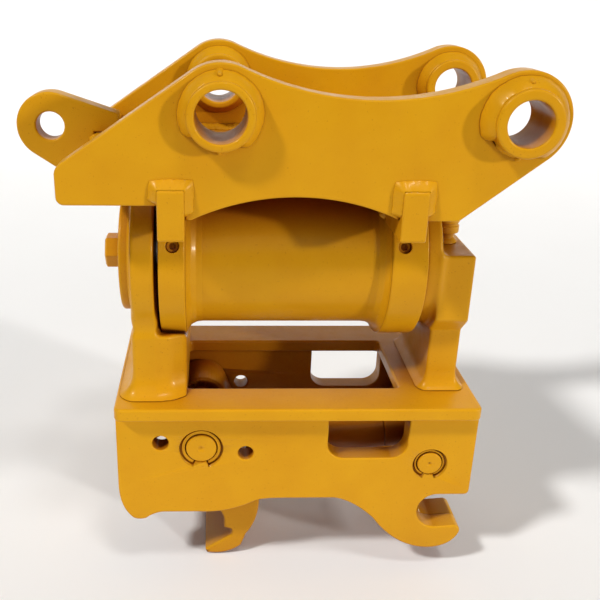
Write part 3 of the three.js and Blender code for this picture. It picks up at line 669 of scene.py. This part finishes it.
for word, side in SIDES:
    y0, y1 = sorted((side * EAR_INNER, side * EAR_OUTER))
    bores = [arc(STICK, BOSS_R + GAP, 0, 360, 4), arc(LINK, BOSS_R + GAP, 0, 360, 4)]
    plate(f"{word}_ear", ear_outline(), "XZ", y0, y1, "upper_frame", [f"{word}_ear_plate"], 2.0, bores)
    for pin, centre, bore, spread, (start, end) in BOSSES:
        inner, outer = side * BOSS_INNER, side * BOSS_OUTER
        turned(f"{word}_{pin}_pin_boss", [
            (inner, bore, 2.5), (inner, BOSS_R, 3.0), (outer, BOSS_R, 3.0), (outer, bore, 2.5)],
            "Y", "upper_frame", [f"{word}_{pin}_boss"], centre, steps=128)
        seam = BOSS_R - 0.4
        bead(f"{word}_{pin}_boss_weld", around(centre, seam, side * EAR_OUTER, side, start, end),
             "upper_frame", spread, 17.6, bulge=0.07, seed=3 + side + centre[0] / 100, **SMOOTH)
        rest_of_seam = around(centre, seam, side * EAR_OUTER, side, end + 4, start + 357)
        bead(f"{word}_{pin}_boss_root_weld", rest_of_seam, "upper_frame", 3.6, 4.5,
             ripple=0.02, uneven=0.2, seed=5 + side)
        bead(f"{word}_{pin}_boss_inner_weld", around(centre, seam, side * EAR_INNER, -side, 0, 360),
             "upper_frame", 9.0, 16.5, bulge=0.05, closed=True, seed=7 + side, **SMOOTH)
        for angle, lump, away, height in ((92, 3.2, 5.0, 13.0), (268, 2.6, 2.5, 5.0)):
            at = arc(centre, BOSS_R + away, angle, angle)[0]
            root, tip = side * (EAR_OUTER - 1), side * (EAR_OUTER + height)
            turned(f"{word}_{pin}_weld_nub_{angle}", [
                (root, 0), (root, lump * 1.6, 1), (tip, lump * 0.5, 2), (tip, 0)],
                "Y", "upper_frame", (), at, steps=24, material=WELD_PAINT)


LUG = (-187.0, 149.0)
LUG_HALF = 12.5
LUG_HOLE_R = 15.5


def lug_outline():
    """The lug's round head, its foot below, and the tail that runs over the front bar."""
    centre, radius = LUG, 37.0
    right, tail, bottom, knee = -138.3, -112.0, 90.0, -165.0
    upper = touch_angle((tail, 163.0), centre, radius, 1)
    lower = touch_angle((knee, bottom), centre, radius, -1)
    over_bar = [(right, bottom), (right, 142.3), (-121.7, 142.3), (-121.7, 96), (tail, 96), (tail, 163)]
    return over_bar + arc(centre, radius, upper, lower + 360) + [(knee, bottom)]


plate("lifting_lug_plate", lug_outline(), "XZ", -LUG_HALF, LUG_HALF, "upper_frame", ["lifting_lug"], 2.5,
      [arc(LUG, LUG_HOLE_R, 0, 360, 5)])
inner = EAR_INNER - GAP
FRONT_BAR = {"x0": -138, "x1": -122, "z0": 96, "z1": 142}
TOP_BAR = {"x0": -61, "x1": 203, "z0": 113.3, "z1": 123.3}


def block_edge(u0, u1, v0, v1, rounding):
    """The outline of a rectangle with rounded corners."""
    return softened([(u0, v0), (u1, v0), (u1, v1), (u0, v1)], rounding)


def straight(p0, p1, a, b):
    """Stations of a straight weld between two points, with its two leg directions."""
    return [(p0, a, b), (p1, a, b)]


x0, x1, z0, z1 = FRONT_BAR.values()
plate("front_cross_bar", block_edge(x0, x1, z0, z1, 2.5), "XZ", -inner, inner,
      "upper_frame", ["front_cross_plate"], 1.0)
x0, x1, z0, z1 = TOP_BAR.values()
plate("top_cross_bar", block_edge(x0, x1, -inner, inner, 3.0), "XY", z0, z1,
      "upper_frame", ["top_cross_plate"], 1.5)
front = FRONT_BAR["x0"]
for word, side, seed in (("near", -1, 2), ("far", 1, 4)):
    y = side * LUG_HALF
    bead(f"lug_weld_{word}", straight((front, y, 100), (front, y, 141), (-1, 0, 0), (0, side, 0)),
         "upper_frame", 7, 7, seed=seed)
for word, side in SIDES:
    y, in_from_ear = side * inner, (0, -side, 0)
    bead(f"{word}_front_bar_weld", straight((front, y, 98), (front, y, 141), (-1, 0, 0), in_from_ear),
         "upper_frame", 7, 7, seed=5 + side)
    bead(f"{word}_top_bar_weld", straight((x0 + 3, y, z1), (x1 - 3, y, z1), (0, 0, 1), in_from_ear),
         "upper_frame", 8, 8, seed=8 + side)


def saddle_outline():
    """Block seen along X, hollowed to sit on the round flange."""
    half, ring = SADDLE_HALF, FLANGE_R + GAP
    lift = math.degrees(math.asin(SADDLE_BOTTOM / ring))
    hollow = [(u, v, 0) for u, v in arc((0, 0), ring, 180 - lift, lift, 2)]
    return softened(hollow + [
        (half, SADDLE_BOTTOM, 4), (half, SADDLE_TOP, 4), (-half, SADDLE_TOP, 4), (-half, SADDLE_BOTTOM, 4)])


for word, (x0, x1) in SADDLES.items():
    plate(f"{word}_saddle", saddle_outline(), "YZ", x0, x1, "upper_frame", [f"{word}_saddle_plate"], 2.0)
    for where, side in SIDES:
        y = side * EAR_OUTER
        low = 96 if word == "left" else 84
        top, step = SADDLE_TOP, 1.5
        corners = [
            (x0, low, (-1, 0)), (x0, top - step, (-1, 0)), (x0, top, (-0.85, 0.85)), (x0 + step, top, (0, 1)),
            (x1 - step, top, (0, 1)), (x1, top, (0.85, 0.85)), (x1, top - step, (1, 0)), (x1, 84, (1, 0))]
        bead(f"{where}_{word}_tab_weld", [((x, y, z), (a, 0, b), (0, side, 0)) for x, z, (a, b) in corners],
             "upper_frame", 10.0, 8.6, bulge=0.03, ripple=0.02, uneven=0.07, seed=x0 / 20 + side)
    for face, way in ((x0, -1), (x1, 1)):
        arched = np.radians(np.arange(40, 141, 4.0))
        stations = [((face, FLANGE_R * math.cos(t), FLANGE_R * math.sin(t)), (way, 0, 0),
                     (0, math.cos(t), math.sin(t))) for t in arched]
        if word == "right" or way > 0:
            bead(f"{word}_saddle_weld_{'front' if way < 0 else 'back'}", stations, "upper_frame",
                 4.0 if word == "left" else 7.0, 6.0, seed=face / 30)

# ------------------------------------------------------------------ actuator housing
TUBE_ENDS = (FLANGES["left"][1] + GAP, FLANGES["right"][0] - GAP)
turned("actuator_barrel", [
    (TUBE_ENDS[0] + 9, 70), (TUBE_ENDS[0] + 9, TUBE_R), (TUBE_ENDS[1] - 9, TUBE_R), (TUBE_ENDS[1] - 9, 70)],
    "X", "upper_frame", ["actuator_tube"], steps=144, rounding=0.5)

PLUG_TURN = math.pi - 0.385
PLUG_HOLE_R = 7.3


def on_spoke(points, x):
    """Points drawn along +Y, turned to the direction of the oil ports at that x."""
    c, s = math.cos(PLUG_TURN), math.sin(PLUG_TURN)
    return [(x + px, py * c - pz * s, py * s + pz * c) for px, py, pz in points]


for word, (x0, x1) in FLANGES.items():
    inward, way = (x1, 1) if word == "left" else (x0, -1)
    outward = x0 if word == "left" else x1
    hub_end = inward + way * FLANGE_HUB
    ring = turned(f"{word}_flange", [
        (outward, 58.3, 0.5), (outward, FLANGE_R, 1.5), (inward, FLANGE_R, 2.5),
        (inward + way * 0.6, 90.0, 1.0), (hub_end, TUBE_R - 1.5, 1.0), (hub_end, 78, 0.2),
        (inward, 58.3, 0.5)], "X", "upper_frame", [f"{word}_housing_flange"], steps=160)
    fillet = [(0.2, 83), (0.2, 97.0), (1.5, 93.5, 2), (5.5, 88.0, 6), (11.5, 84.9, 6), (18, 84.1), (18, 83)]
    turned(f"{word}_flange_weld", [(inward + way * a, *rest) for a, *rest in fillet], "X", "upper_frame",
           steps=144, rounding=0.3, material=WELD_PAINT)
    x = (x0 + x1) / 2 + 1 if word == "left" else x0 + 13
    points, faces = turned_mesh([
        (FLANGE_R - 12, 0), (FLANGE_R - 12, PLUG_HOLE_R), (FLANGE_R - 0.9, PLUG_HOLE_R, 0.4),
        (FLANGE_R + 1.5, PLUG_HOLE_R + 2.4, 0.2), (FLANGE_R + 6, PLUG_HOLE_R + 2.4), (FLANGE_R + 6, 0)],
        "Y", steps=48)
    cut(ring, tool(on_spoke(points, x), faces))
    points, faces = turned_mesh([
        (FLANGE_R - 11.7, 0), (FLANGE_R - 11.7, 7.0), (FLANGE_R - 5, 7.0, 1.0), (FLANGE_R - 5, 3.9, 0.3),
        (FLANGE_R - 9, 3.5, 0.2), (FLANGE_R - 9, 0)], "Y", steps=48, rounding=0.4)
    make(f"{word}_port_screw", on_spoke(points, x), faces, "upper_frame", [f"{word}_port_plug"])

# ------------------------------------------------------------------ tilting uprights
FLOOR = BASE_TOP - 0.4


def left_upright_field(p):
    """Round head on a neck, a chamfered toe under the flange, and a foot that spreads into the base."""
    x0, x1 = UPRIGHT_X
    toe_end, toe_top, chamfer_x, chamfer_y = -37.0, -78.0, -58.0, 62.0
    head = disc_field(p, UPRIGHT_R, x0, x1, 3.5)
    neck = box_field(p, (x0, -FOOT_HALF, FLOOR), (x1, FOOT_HALF, 0), 3.5)
    toe = box_field(p, (x0, -FOOT_HALF, FLOOR), (toe_end, FOOT_HALF, toe_top), 3.0)
    for side in (-1, 1):
        slant = (FOOT_HALF - chamfer_y, side * (toe_end - chamfer_x), 0)
        toe = keep(toe, plane_field(p, (chamfer_x, side * FOOT_HALF, 0), slant), 5.0)
    toe = keep(toe, -disc_field(p, 101.0, x1, x1 + 80, 0.5), 4.0)
    spread = box_field(p, (x0 - 30, -FOOT_HALF - 30, FLOOR - 14), (toe_end - 2, FOOT_HALF + 30, FLOOR - 2),
                       0.5)
    solid = join(join(join(head, neck, 8.0), toe, 10.0), spread, 34.0)
    solid = np.maximum(solid, np.maximum(FLOOR - p[..., 2], p[..., 0] - toe_end))
    return keep(solid, -disc_field(p, 34.3, x0 - 9, x1 + 9, 0.5), 1.0)


def right_upright_field(p):
    """Head block with slanted undersides, a foot that spreads into the base, and a round hub."""
    x1, half, top, bottom = 283.0, 80.0, 22.0, -56.0
    foot_x, foot_half = 247.0, 61.0
    head = box_field(p, (245, -half, bottom - 20), (x1, half, top), 2.5)
    for side in (-1, 1):
        head = keep(head, plane_field(p, (0, side * half, bottom), (0, side, -1)), 1.5)
    foot = box_field(p, (foot_x, -foot_half, FLOOR), (x1, foot_half, bottom), 2.5)
    hub = disc_field(p, RIGHT_HUB_R, 228, 246, 3.0)
    spread = box_field(p, (foot_x - 30, -foot_half - 30, FLOOR - 14), (x1 + 30, foot_half + 30, FLOOR - 2),
                       0.5)
    solid = join(join(join(head, foot, 2.0), hub, 9.0), spread, 26.0)
    solid = np.maximum(solid, FLOOR - p[..., 2])
    return keep(solid, -disc_field(p, 40.3, 200, 241, 0.5), 1.0)


blended("left_end_upright", left_upright_field, (-121, -101, -156), (-33, 101, 101),
        "lower_frame", ["left_upright"])
blended("right_end_upright", right_upright_field, (224, -99, -156), (302, 99, 99),
        "lower_frame", ["right_upright"])

turned("shaft_end_cap", [(-112, 12.3, 0.5), (-112, 70, 3.5), (-97.3, 70, 1.0), (-97.3, 12.3, 0.5)], "X",
       "lower_frame", ["end_cap"], steps=128)
HEX_R = 36 / math.sqrt(3)
turned("centre_screw_washer", [
    (-112, 12), (-112, 25.5, 0.3), (-115, 23.5, 1.5), (-118.4, 19, 0.8), (-118.4, 12)],
    "X", "lower_frame", steps=96)
points, faces = turned_mesh([
    (-117, 0), (-117, HEX_R, 0.8), (-131.5, HEX_R, 1.2), (-133.3, HEX_R - 3.0, 0.5), (-133.3, 0)],
    "X", steps=6)
head = make("centre_screw", points, faces, "lower_frame", ["centre_bolt"])
rounded = head.modifiers.new("rounded", "BEVEL")
rounded.width, rounded.segments, rounded.limit_method = 0.0009, 3, "ANGLE"
head.modifiers.move(1, 0)
turned("cap_weld", [(-97.4, 69.5, 0.5), (-97.4, 77.0, 2.0), (-103.5, 69.5, 2.0)], "X", "lower_frame",
       steps=128, material=WELD_PAINT)

turned("oil_port", [
    (22.3, 0), (22.3, 14.8, 0.5), (25.5, 12.8, 1.5), (28, 10.5, 1.5), (34, 10.5, 1.0), (34, 15, 1.2),
    (42, 15, 1.0), (43, 13.6, 0.6), (45.5, 13.6, 0.6), (46.5, 15, 1.0), (60.5, 15, 1.5), (62, 13.5, 0.8),
    (62, 8.5, 0.6), (56, 7.5, 0.5), (56, 0)],
    "Z", "lower_frame", ["port_adapter"], (262, -25), steps=72)


# ------------------------------------------------------------------ base and side plates
plate("tilting_base", softened([
    (-119, -BASE_HALF), (302.5, -BASE_HALF), (302.5, BASE_HALF), (-119, BASE_HALF)], 10, steps=9),
    "XY", BASE_BOTTOM, BASE_TOP, "lower_frame", ["base_plate"], 3.0,
    [softened([(-37, -62, 6), (216, -62, 6), (216, 62, 6), (-37, 62, 6)])])
SIDE_TOP = BASE_BOTTOM - GAP


def hook_outline():
    """The fixed hook's edge, from its back round the point and the throat to the rear end of the plate."""
    lip = (300.0, -337.0)
    edge = curve((140, -284), (163, -287), (190, -314)) + curve((190, -314), (222, -360), (264, -360), 18)
    edge += curve((264, -360), (292, -358), lip, 12)
    edge += curve(lip, (302, -328), (293, -326), 6)
    edge += arc(HOOK, HOOK_R, 270, 90, 4)
    return edge + curve((298, -280), (305, -280), (305, -273), 6)


def side_outline():
    """A side plate's edge from its front corner along the belly, round the hook and into the top notch."""
    edge = [(-119, SIDE_TOP), (-119, -262)]
    edge += curve((-119, -262), (-119, -296), (-103, -311)) + curve((-103, -311), (-96, -315), (-87, -312))
    edge += curve((-87, -312), (-76, -303), (-64, -303)) + curve((-24, -303), (12, -306), (46, -287), 16)
    edge += curve((46, -287), (56, -284), (76, -284)) + hook_outline() + [(305, SIDE_TOP)]
    notch = [(224, SIDE_TOP), (224, -207)] + arc((204, -207), 20, 0, -90, 9)
    return edge + notch + arc((149, -207), 20, 270, 180, 9) + [(129, -207), (129, SIDE_TOP)]


PIVOT_PINS = (("jaw", JAW_PIVOT, 18.0, 26.0, 3.5), ("cylinder", CYLINDER_PIN, 14.7, 21.0, 2.2))
for word, side in SIDES:
    y0, y1 = sorted((side * SIDE_INNER, side * SIDE_OUTER))
    holes = [arc((-67.7, -205.4), 9.5, 0, 360, 7), arc((32.3, -219.3), 9.0, 0, 360, 7)]
    panel = plate(f"{word}_side", side_outline(), "XZ", y0, y1, "lower_frame", [f"{word}_side_plate"], 2.2,
                  holes)
    for pin, centre, r, groove, _ in PIVOT_PINS:
        room = r + GAP
        bore = [(y0 - 5, 0), (y0 - 5, room), (y1 + 5, room), (y1 + 5, 0)]
        cut(panel, tool(*turned_mesh(bore, "Y", centre, 64, 0)))
        sunk = sorted((side * (SIDE_OUTER - 6), side * (SIDE_OUTER + 5)))
        start, end = math.degrees(-1.25), math.degrees(2 * math.pi - 1.95)
        ring = arc(centre, groove, start, end, 4) + arc(centre, r - 1, end, start, 4)
        cut(panel, tool(*plate_mesh(ring, "XZ", *sunk, 0.01)))
        bottom = side * (SIDE_OUTER - 6)
        start, end = start + 4, end - 4
        wire = arc(centre, groove - 2.9, start, end, 4) + arc(centre, r + 1.2, end, start, 4)
        seat = sorted((bottom + side * GAP, bottom + side * 2.8))
        plate(f"{word}_{pin}_circlip", wire, "XZ", *seat, "lower_frame", [f"{word}_{pin}_pin_ring"], 0.5)
    edge = [(192, -256), (192, -316.5)] + [p for p in hook_outline() if p[0] > 193] + [(305, -256)]
    inner0, inner1 = sorted((side * CHEEK_INNER, side * (SIDE_INNER + 0.5)))
    if side > 0:
        points, faces = plate_mesh(edge, "XZ", inner0, inner1, 2.2, both=False)
    else:
        points, faces = plate_mesh(edge, "XZ", -inner1, -inner0, 2.2, both=False)
        points = [(u, -v, w) for u, v, w in points]
    make(f"{word}_hook_cheek", points, faces, "lower_frame", [f"{word}_hook_doubler"])
    y = side * SIDE_OUTER
    for where, x0, x1, seed in (("front", -116, 127, 6), ("rear", 226, 300, 9)):
        bead(f"{word}_base_weld_{where}",
             straight((x0, y, BASE_BOTTOM), (x1, y, BASE_BOTTOM), (0, side, 0), (0, 0, -1)),
             "lower_frame", 6.0, 6.0, seed=seed + side)

for pin, centre, r, _, dimple in PIVOT_PINS:
    end = SIDE_OUTER - 1
    half = [(end, r, 2.0), (end, dimple + 1.2, 0.5), (end - 0.3, dimple, 0.5), (end - 3, 0)]
    profile = [(-along, *rest) for along, *rest in half[::-1]] + half
    turned(f"{pin}_pivot_pin", profile, "Y", "lower_frame", [f"{pin}_pin"], centre, steps=96)

brace = SIDE_INNER - GAP
for name, x0, x1, z0 in (("front", -113, -101, -286), ("rear", 286, 298, -254)):
    edge = softened([(-brace, z0, 3), (brace, z0, 3), (brace, SIDE_TOP, 1), (-brace, SIDE_TOP, 1)])
    plate(f"{name}_brace_plate", edge,
          "YZ", x0, x1, "lower_frame", [f"{name}_brace"], 1.8)


# ------------------------------------------------------------------ moving jaw
def jaw_outline():
    """The jaw's edge: throat, tip, heel, back and the round hub on its pin."""
    hub_r, back, throat, throat_r = 32.0, (52.0, -308.0), (-17.0, -340.0), 25.0
    top = (throat[0] - throat_r * 0.64, throat[1] + throat_r * 1.6)
    left = touch_angle(top, JAW_PIVOT, hub_r, -1)
    right = touch_angle(back, JAW_PIVOT, hub_r, 1)
    edge = [top] + arc(throat, throat_r, math.degrees(2.0), 0, 5)
    edge += softened([(8, -350, 0), (18, -352.5, 5), (18, -360.5, 5), (-16, -383, 3), (-14, -389, 3)])[:-1]
    edge += curve((-14, -389), (12, -394), (30, -378), 14) + curve((30, -378), (34, -368), (36, -361), 5)
    edge += curve((36, -361), (52, -340), back, 14)
    return edge + arc(JAW_PIVOT, hub_r, right, left + 360, 4)


jaw = plate("moving_jaw_body", jaw_outline(), "XZ", -JAW_HALF, JAW_HALF, "jaw", ["moving_jaw"], 3.0)


def bored(piece, half, r, centre, steps=72):
    """Cuts a round hole along Y, half long on each side of the middle."""
    cut(piece, tool(*turned_mesh([(-half, 0), (-half, r), (half, r), (half, 0)], "Y", centre, steps, 0)))


bored(jaw, 75, 23.3, JAW_PIVOT)
bored(jaw, 75, 12.3, ROD_PIN, 48)
slot = [(x, y, z) for x in (-23, 75) for y in (-ROD_SLOT_HALF, ROD_SLOT_HALF) for z in (-290, -238)]
cut(jaw, tool(slot, [(0, 1, 3, 2), (4, 6, 7, 5), (0, 4, 5, 1), (2, 3, 7, 6), (0, 2, 6, 4), (1, 5, 7, 3)]))
bored(jaw, ROD_SLOT_HALF, 34, JAW_PIVOT)
for word, side in SIDES:
    y0, y1 = sorted((side * (ROD_SLOT_HALF + 3), side * (JAW_HALF - 2)))
    turned(f"{word}_pivot_bush", [(y0, 18.3, 0.8), (y0, 23, 0.5), (y1, 23, 0.5), (y1, 18.3, 0.8)],
           "Y", "jaw", [f"{word}_jaw_bush"], JAW_PIVOT, material=BRONZE, slot="bronze")
turned("rod_end_pin", [(-62, 0), (-62, 12, 1.2), (62, 12, 1.2), (62, 0)], "Y", "jaw", ["rod_pin"], ROD_PIN,
       material=STEEL, slot="bare_steel")

# ------------------------------------------------------------------ jaw cylinder
SPAN = math.dist(ROD_PIN, CYLINDER_PIN)
ALONG = ((ROD_PIN[0] - CYLINDER_PIN[0]) / SPAN, (ROD_PIN[1] - CYLINDER_PIN[1]) / SPAN)


def swung(points):
    """Points drawn with X from the cylinder pin to the rod pin, put in place."""
    ax, az = ALONG
    return [(CYLINDER_PIN[0] + x * ax - z * az, y, CYLINDER_PIN[1] + x * az + z * ax) for x, y, z in points]


STEEL_LOOK = {"material": STEEL, "slot": "bare_steel"}


def cylinder_piece(name, profile, body, node_name, **rest):
    """A turned piece of the jaw's cylinder, with lengths from the cylinder pin."""
    points, faces = turned_mesh(profile, "X", (0.0, 0.0), 72)
    return make(name, swung(points), faces, body, [node_name], **rest)


def eye_field(p):
    eye = np.hypot(p[..., 0], p[..., 2]) - 24
    eye = np.maximum(eye, np.abs(p[..., 1]) - 20)
    neck = disc_field(p, 30.0, 8, 40, 2.5)
    return keep(join(eye, neck, 6.0), -(np.hypot(p[..., 0], p[..., 2]) - 15.0), 1.5)


def rod_eye_field(p):
    q = p - np.array((SPAN, 0, 0))
    eye = np.maximum(np.hypot(q[..., 0], q[..., 2]) - 21, np.abs(q[..., 1]) - 15)
    neck = disc_field(p, 16.0, 218.3, SPAN - 8, 1.5)
    return keep(join(eye, neck, 5.0), -(np.hypot(q[..., 0], q[..., 2]) - 15.2), 1.2)


points, faces = field_mesh(eye_field, (-28, -34, -34), (44, 34, 34), 1.8)
make("cylinder_base_eye", swung(points), faces.tolist(), "jaw_cylinder", ["cylinder_end_eye"],
     weighted=False)
cylinder_piece("cylinder_tube", [(40.3, 23, 0.5), (40.3, 30, 1.0), (150, 30, 1.0), (150, 23, 0.5)],
               "jaw_cylinder", "cylinder_barrel")
cylinder_piece("rod_gland", [
    (150.3, 14.3, 0.5), (150.3, 28, 1), (155, 28, 1), (156, 26.5, 0.5), (158, 26.5, 0.5), (159, 28, 1),
    (165, 28, 1), (168, 25, 1), (168, 14.3, 0.8)], "jaw_cylinder", "cylinder_gland", **STEEL_LOOK)
cylinder_piece("ram_piston", [
    (96, 10, 0.3), (96, 22.7, 0.8), (103, 22.7, 0.4), (103, 20.5, 0.3), (106, 20.5, 0.3), (106, 22.7, 0.4),
    (112, 22.7, 0.8), (112, 10, 0.3)], "jaw_rod", "cylinder_piston", **STEEL_LOOK)
cylinder_piece("ram_rod", [
    (92, 0), (92, 9.7, 0.8), (112.3, 9.7, 0.2), (112.3, 14, 0.8), (218, 14, 0.6), (218, 0)],
    "jaw_rod", "cylinder_rod", material=CHROME, slot="chrome_rod")
points, faces = field_mesh(rod_eye_field, (214, -18, -25), (276, 18, 25), 1.6)
make("ram_eye", swung(points), faces.tolist(), "jaw_rod", ["rod_eye"], weighted=False, **STEEL_LOOK)

# ------------------------------------------------------------------ hidden parts keep their CAD shape
KEPT = {
    "left_shaft_bearing": BRONZE, "right_shaft_bearing": BRONZE,
    "left_shaft_seal": RUBBER, "right_shaft_seal": RUBBER,
    "ring_gear": STEEL, "piston_sleeve": STEEL, "piston_seal": RUBBER, "output_shaft": STEEL}
for name, material in KEPT.items():
    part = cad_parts[name]
    part.data.materials.clear()
    part.data.materials.append(material)

# ------------------------------------------------------------------ floor, light and camera
def stage_floor():
    """A pale floor that curves up into a backdrop far behind the part."""
    material, tree, shader, at = surface("pale_floor")
    tint = ranged(tree, noise_of(tree, at, 1.5, 2.0), 0.0, 1.0)
    tree.links.new(mixed(tree, tint, (0.88, 0.88, 0.88), (0.9, 0.9, 0.9)), shader.inputs["Base Color"])
    shader.inputs["Roughness"].default_value = 0.8
    front, back, width, rise = -3.0, 3.0, 5.0, 4.0
    floor_z = cad_box[0].z - 0.001
    profile = [(front, 0.0), (back - 1.0, 0.0)]
    profile += [(back - 1 + math.sin(t), 1 - math.cos(t)) for t in np.linspace(0.1, math.pi / 2, 12)]
    profile.append((back, rise))
    points, faces = [], []
    for y, z in profile:
        points += [(-width, y, floor_z + z), (width, y, floor_z + z)]
    for i in range(len(profile) - 1):
        faces.append((2 * i, 2 * i + 1, 2 * i + 3, 2 * i + 2))
    mesh = bpy.data.meshes.new("floor")
    mesh.from_pydata(points, [], faces)
    mesh.materials.append(material)
    mesh.shade_smooth()
    floor = bpy.data.objects.new("floor", mesh)
    bpy.context.scene.collection.objects.link(floor)


def lamp(name, azimuth, elevation, strength, softness):
    """A far soft light; azimuth 0 shines from the front, 90 from the right, in degrees."""
    data = bpy.data.lights.new(name, "SUN")
    data.energy, data.angle, data.color = strength, math.radians(softness), (1.0, 0.985, 0.96)
    holder = bpy.data.objects.new(name, data)
    a, e = math.radians(azimuth), math.radians(elevation)
    source = Vector((math.sin(a) * math.cos(e), -math.cos(a) * math.cos(e), math.sin(e)))
    holder.rotation_mode = "QUATERNION"
    holder.rotation_quaternion = (-source).to_track_quat("-Z", "Y")
    bpy.context.scene.collection.objects.link(holder)


stage_floor()
lamp("right_key", 54, 14, 1.5, 4)
lamp("left_key", -58, 46, 1.95, 6)
lamp("front_fill", -5, 30, 0.2, 30)
lamp("top_fill", 30, 68, 0.6, 10)
world = bpy.data.worlds.new("studio")
world.use_nodes = True
world.node_tree.nodes["Background"].inputs["Color"].default_value = (1.0, 1.0, 1.0, 1.0)
world.node_tree.nodes["Background"].inputs["Strength"].default_value = 0.07
bpy.context.scene.world = world
bpy.context.scene.view_settings.view_transform = "Standard"

YAW, PITCH, ROLL = 0.034, 0.365, 0.015
CAMERA_AT = (-0.00741, -0.86798, 0.12488)
lens = bpy.data.cameras.new("camera")
lens.lens, lens.sensor_width = 46.285, 36.0
lens.shift_x, lens.shift_y = 0.10497, -0.05444
lens.clip_start, lens.clip_end = 0.02, 30.0
camera = bpy.data.objects.new("camera", lens)
ahead = Vector((math.sin(YAW) * math.cos(PITCH), math.cos(YAW) * math.cos(PITCH), -math.sin(PITCH)))
across = Vector((math.cos(YAW), -math.sin(YAW), 0.0))
above = across.cross(ahead)
c, s = math.cos(ROLL), math.sin(ROLL)
turn = Matrix((c * across + s * above, c * above - s * across, -ahead)).transposed().to_4x4()
camera.matrix_world = Matrix.Translation(CAMERA_AT) @ turn
bpy.context.scene.collection.objects.link(camera)
bpy.context.scene.camera = camera

bpy.context.view_layer.update()
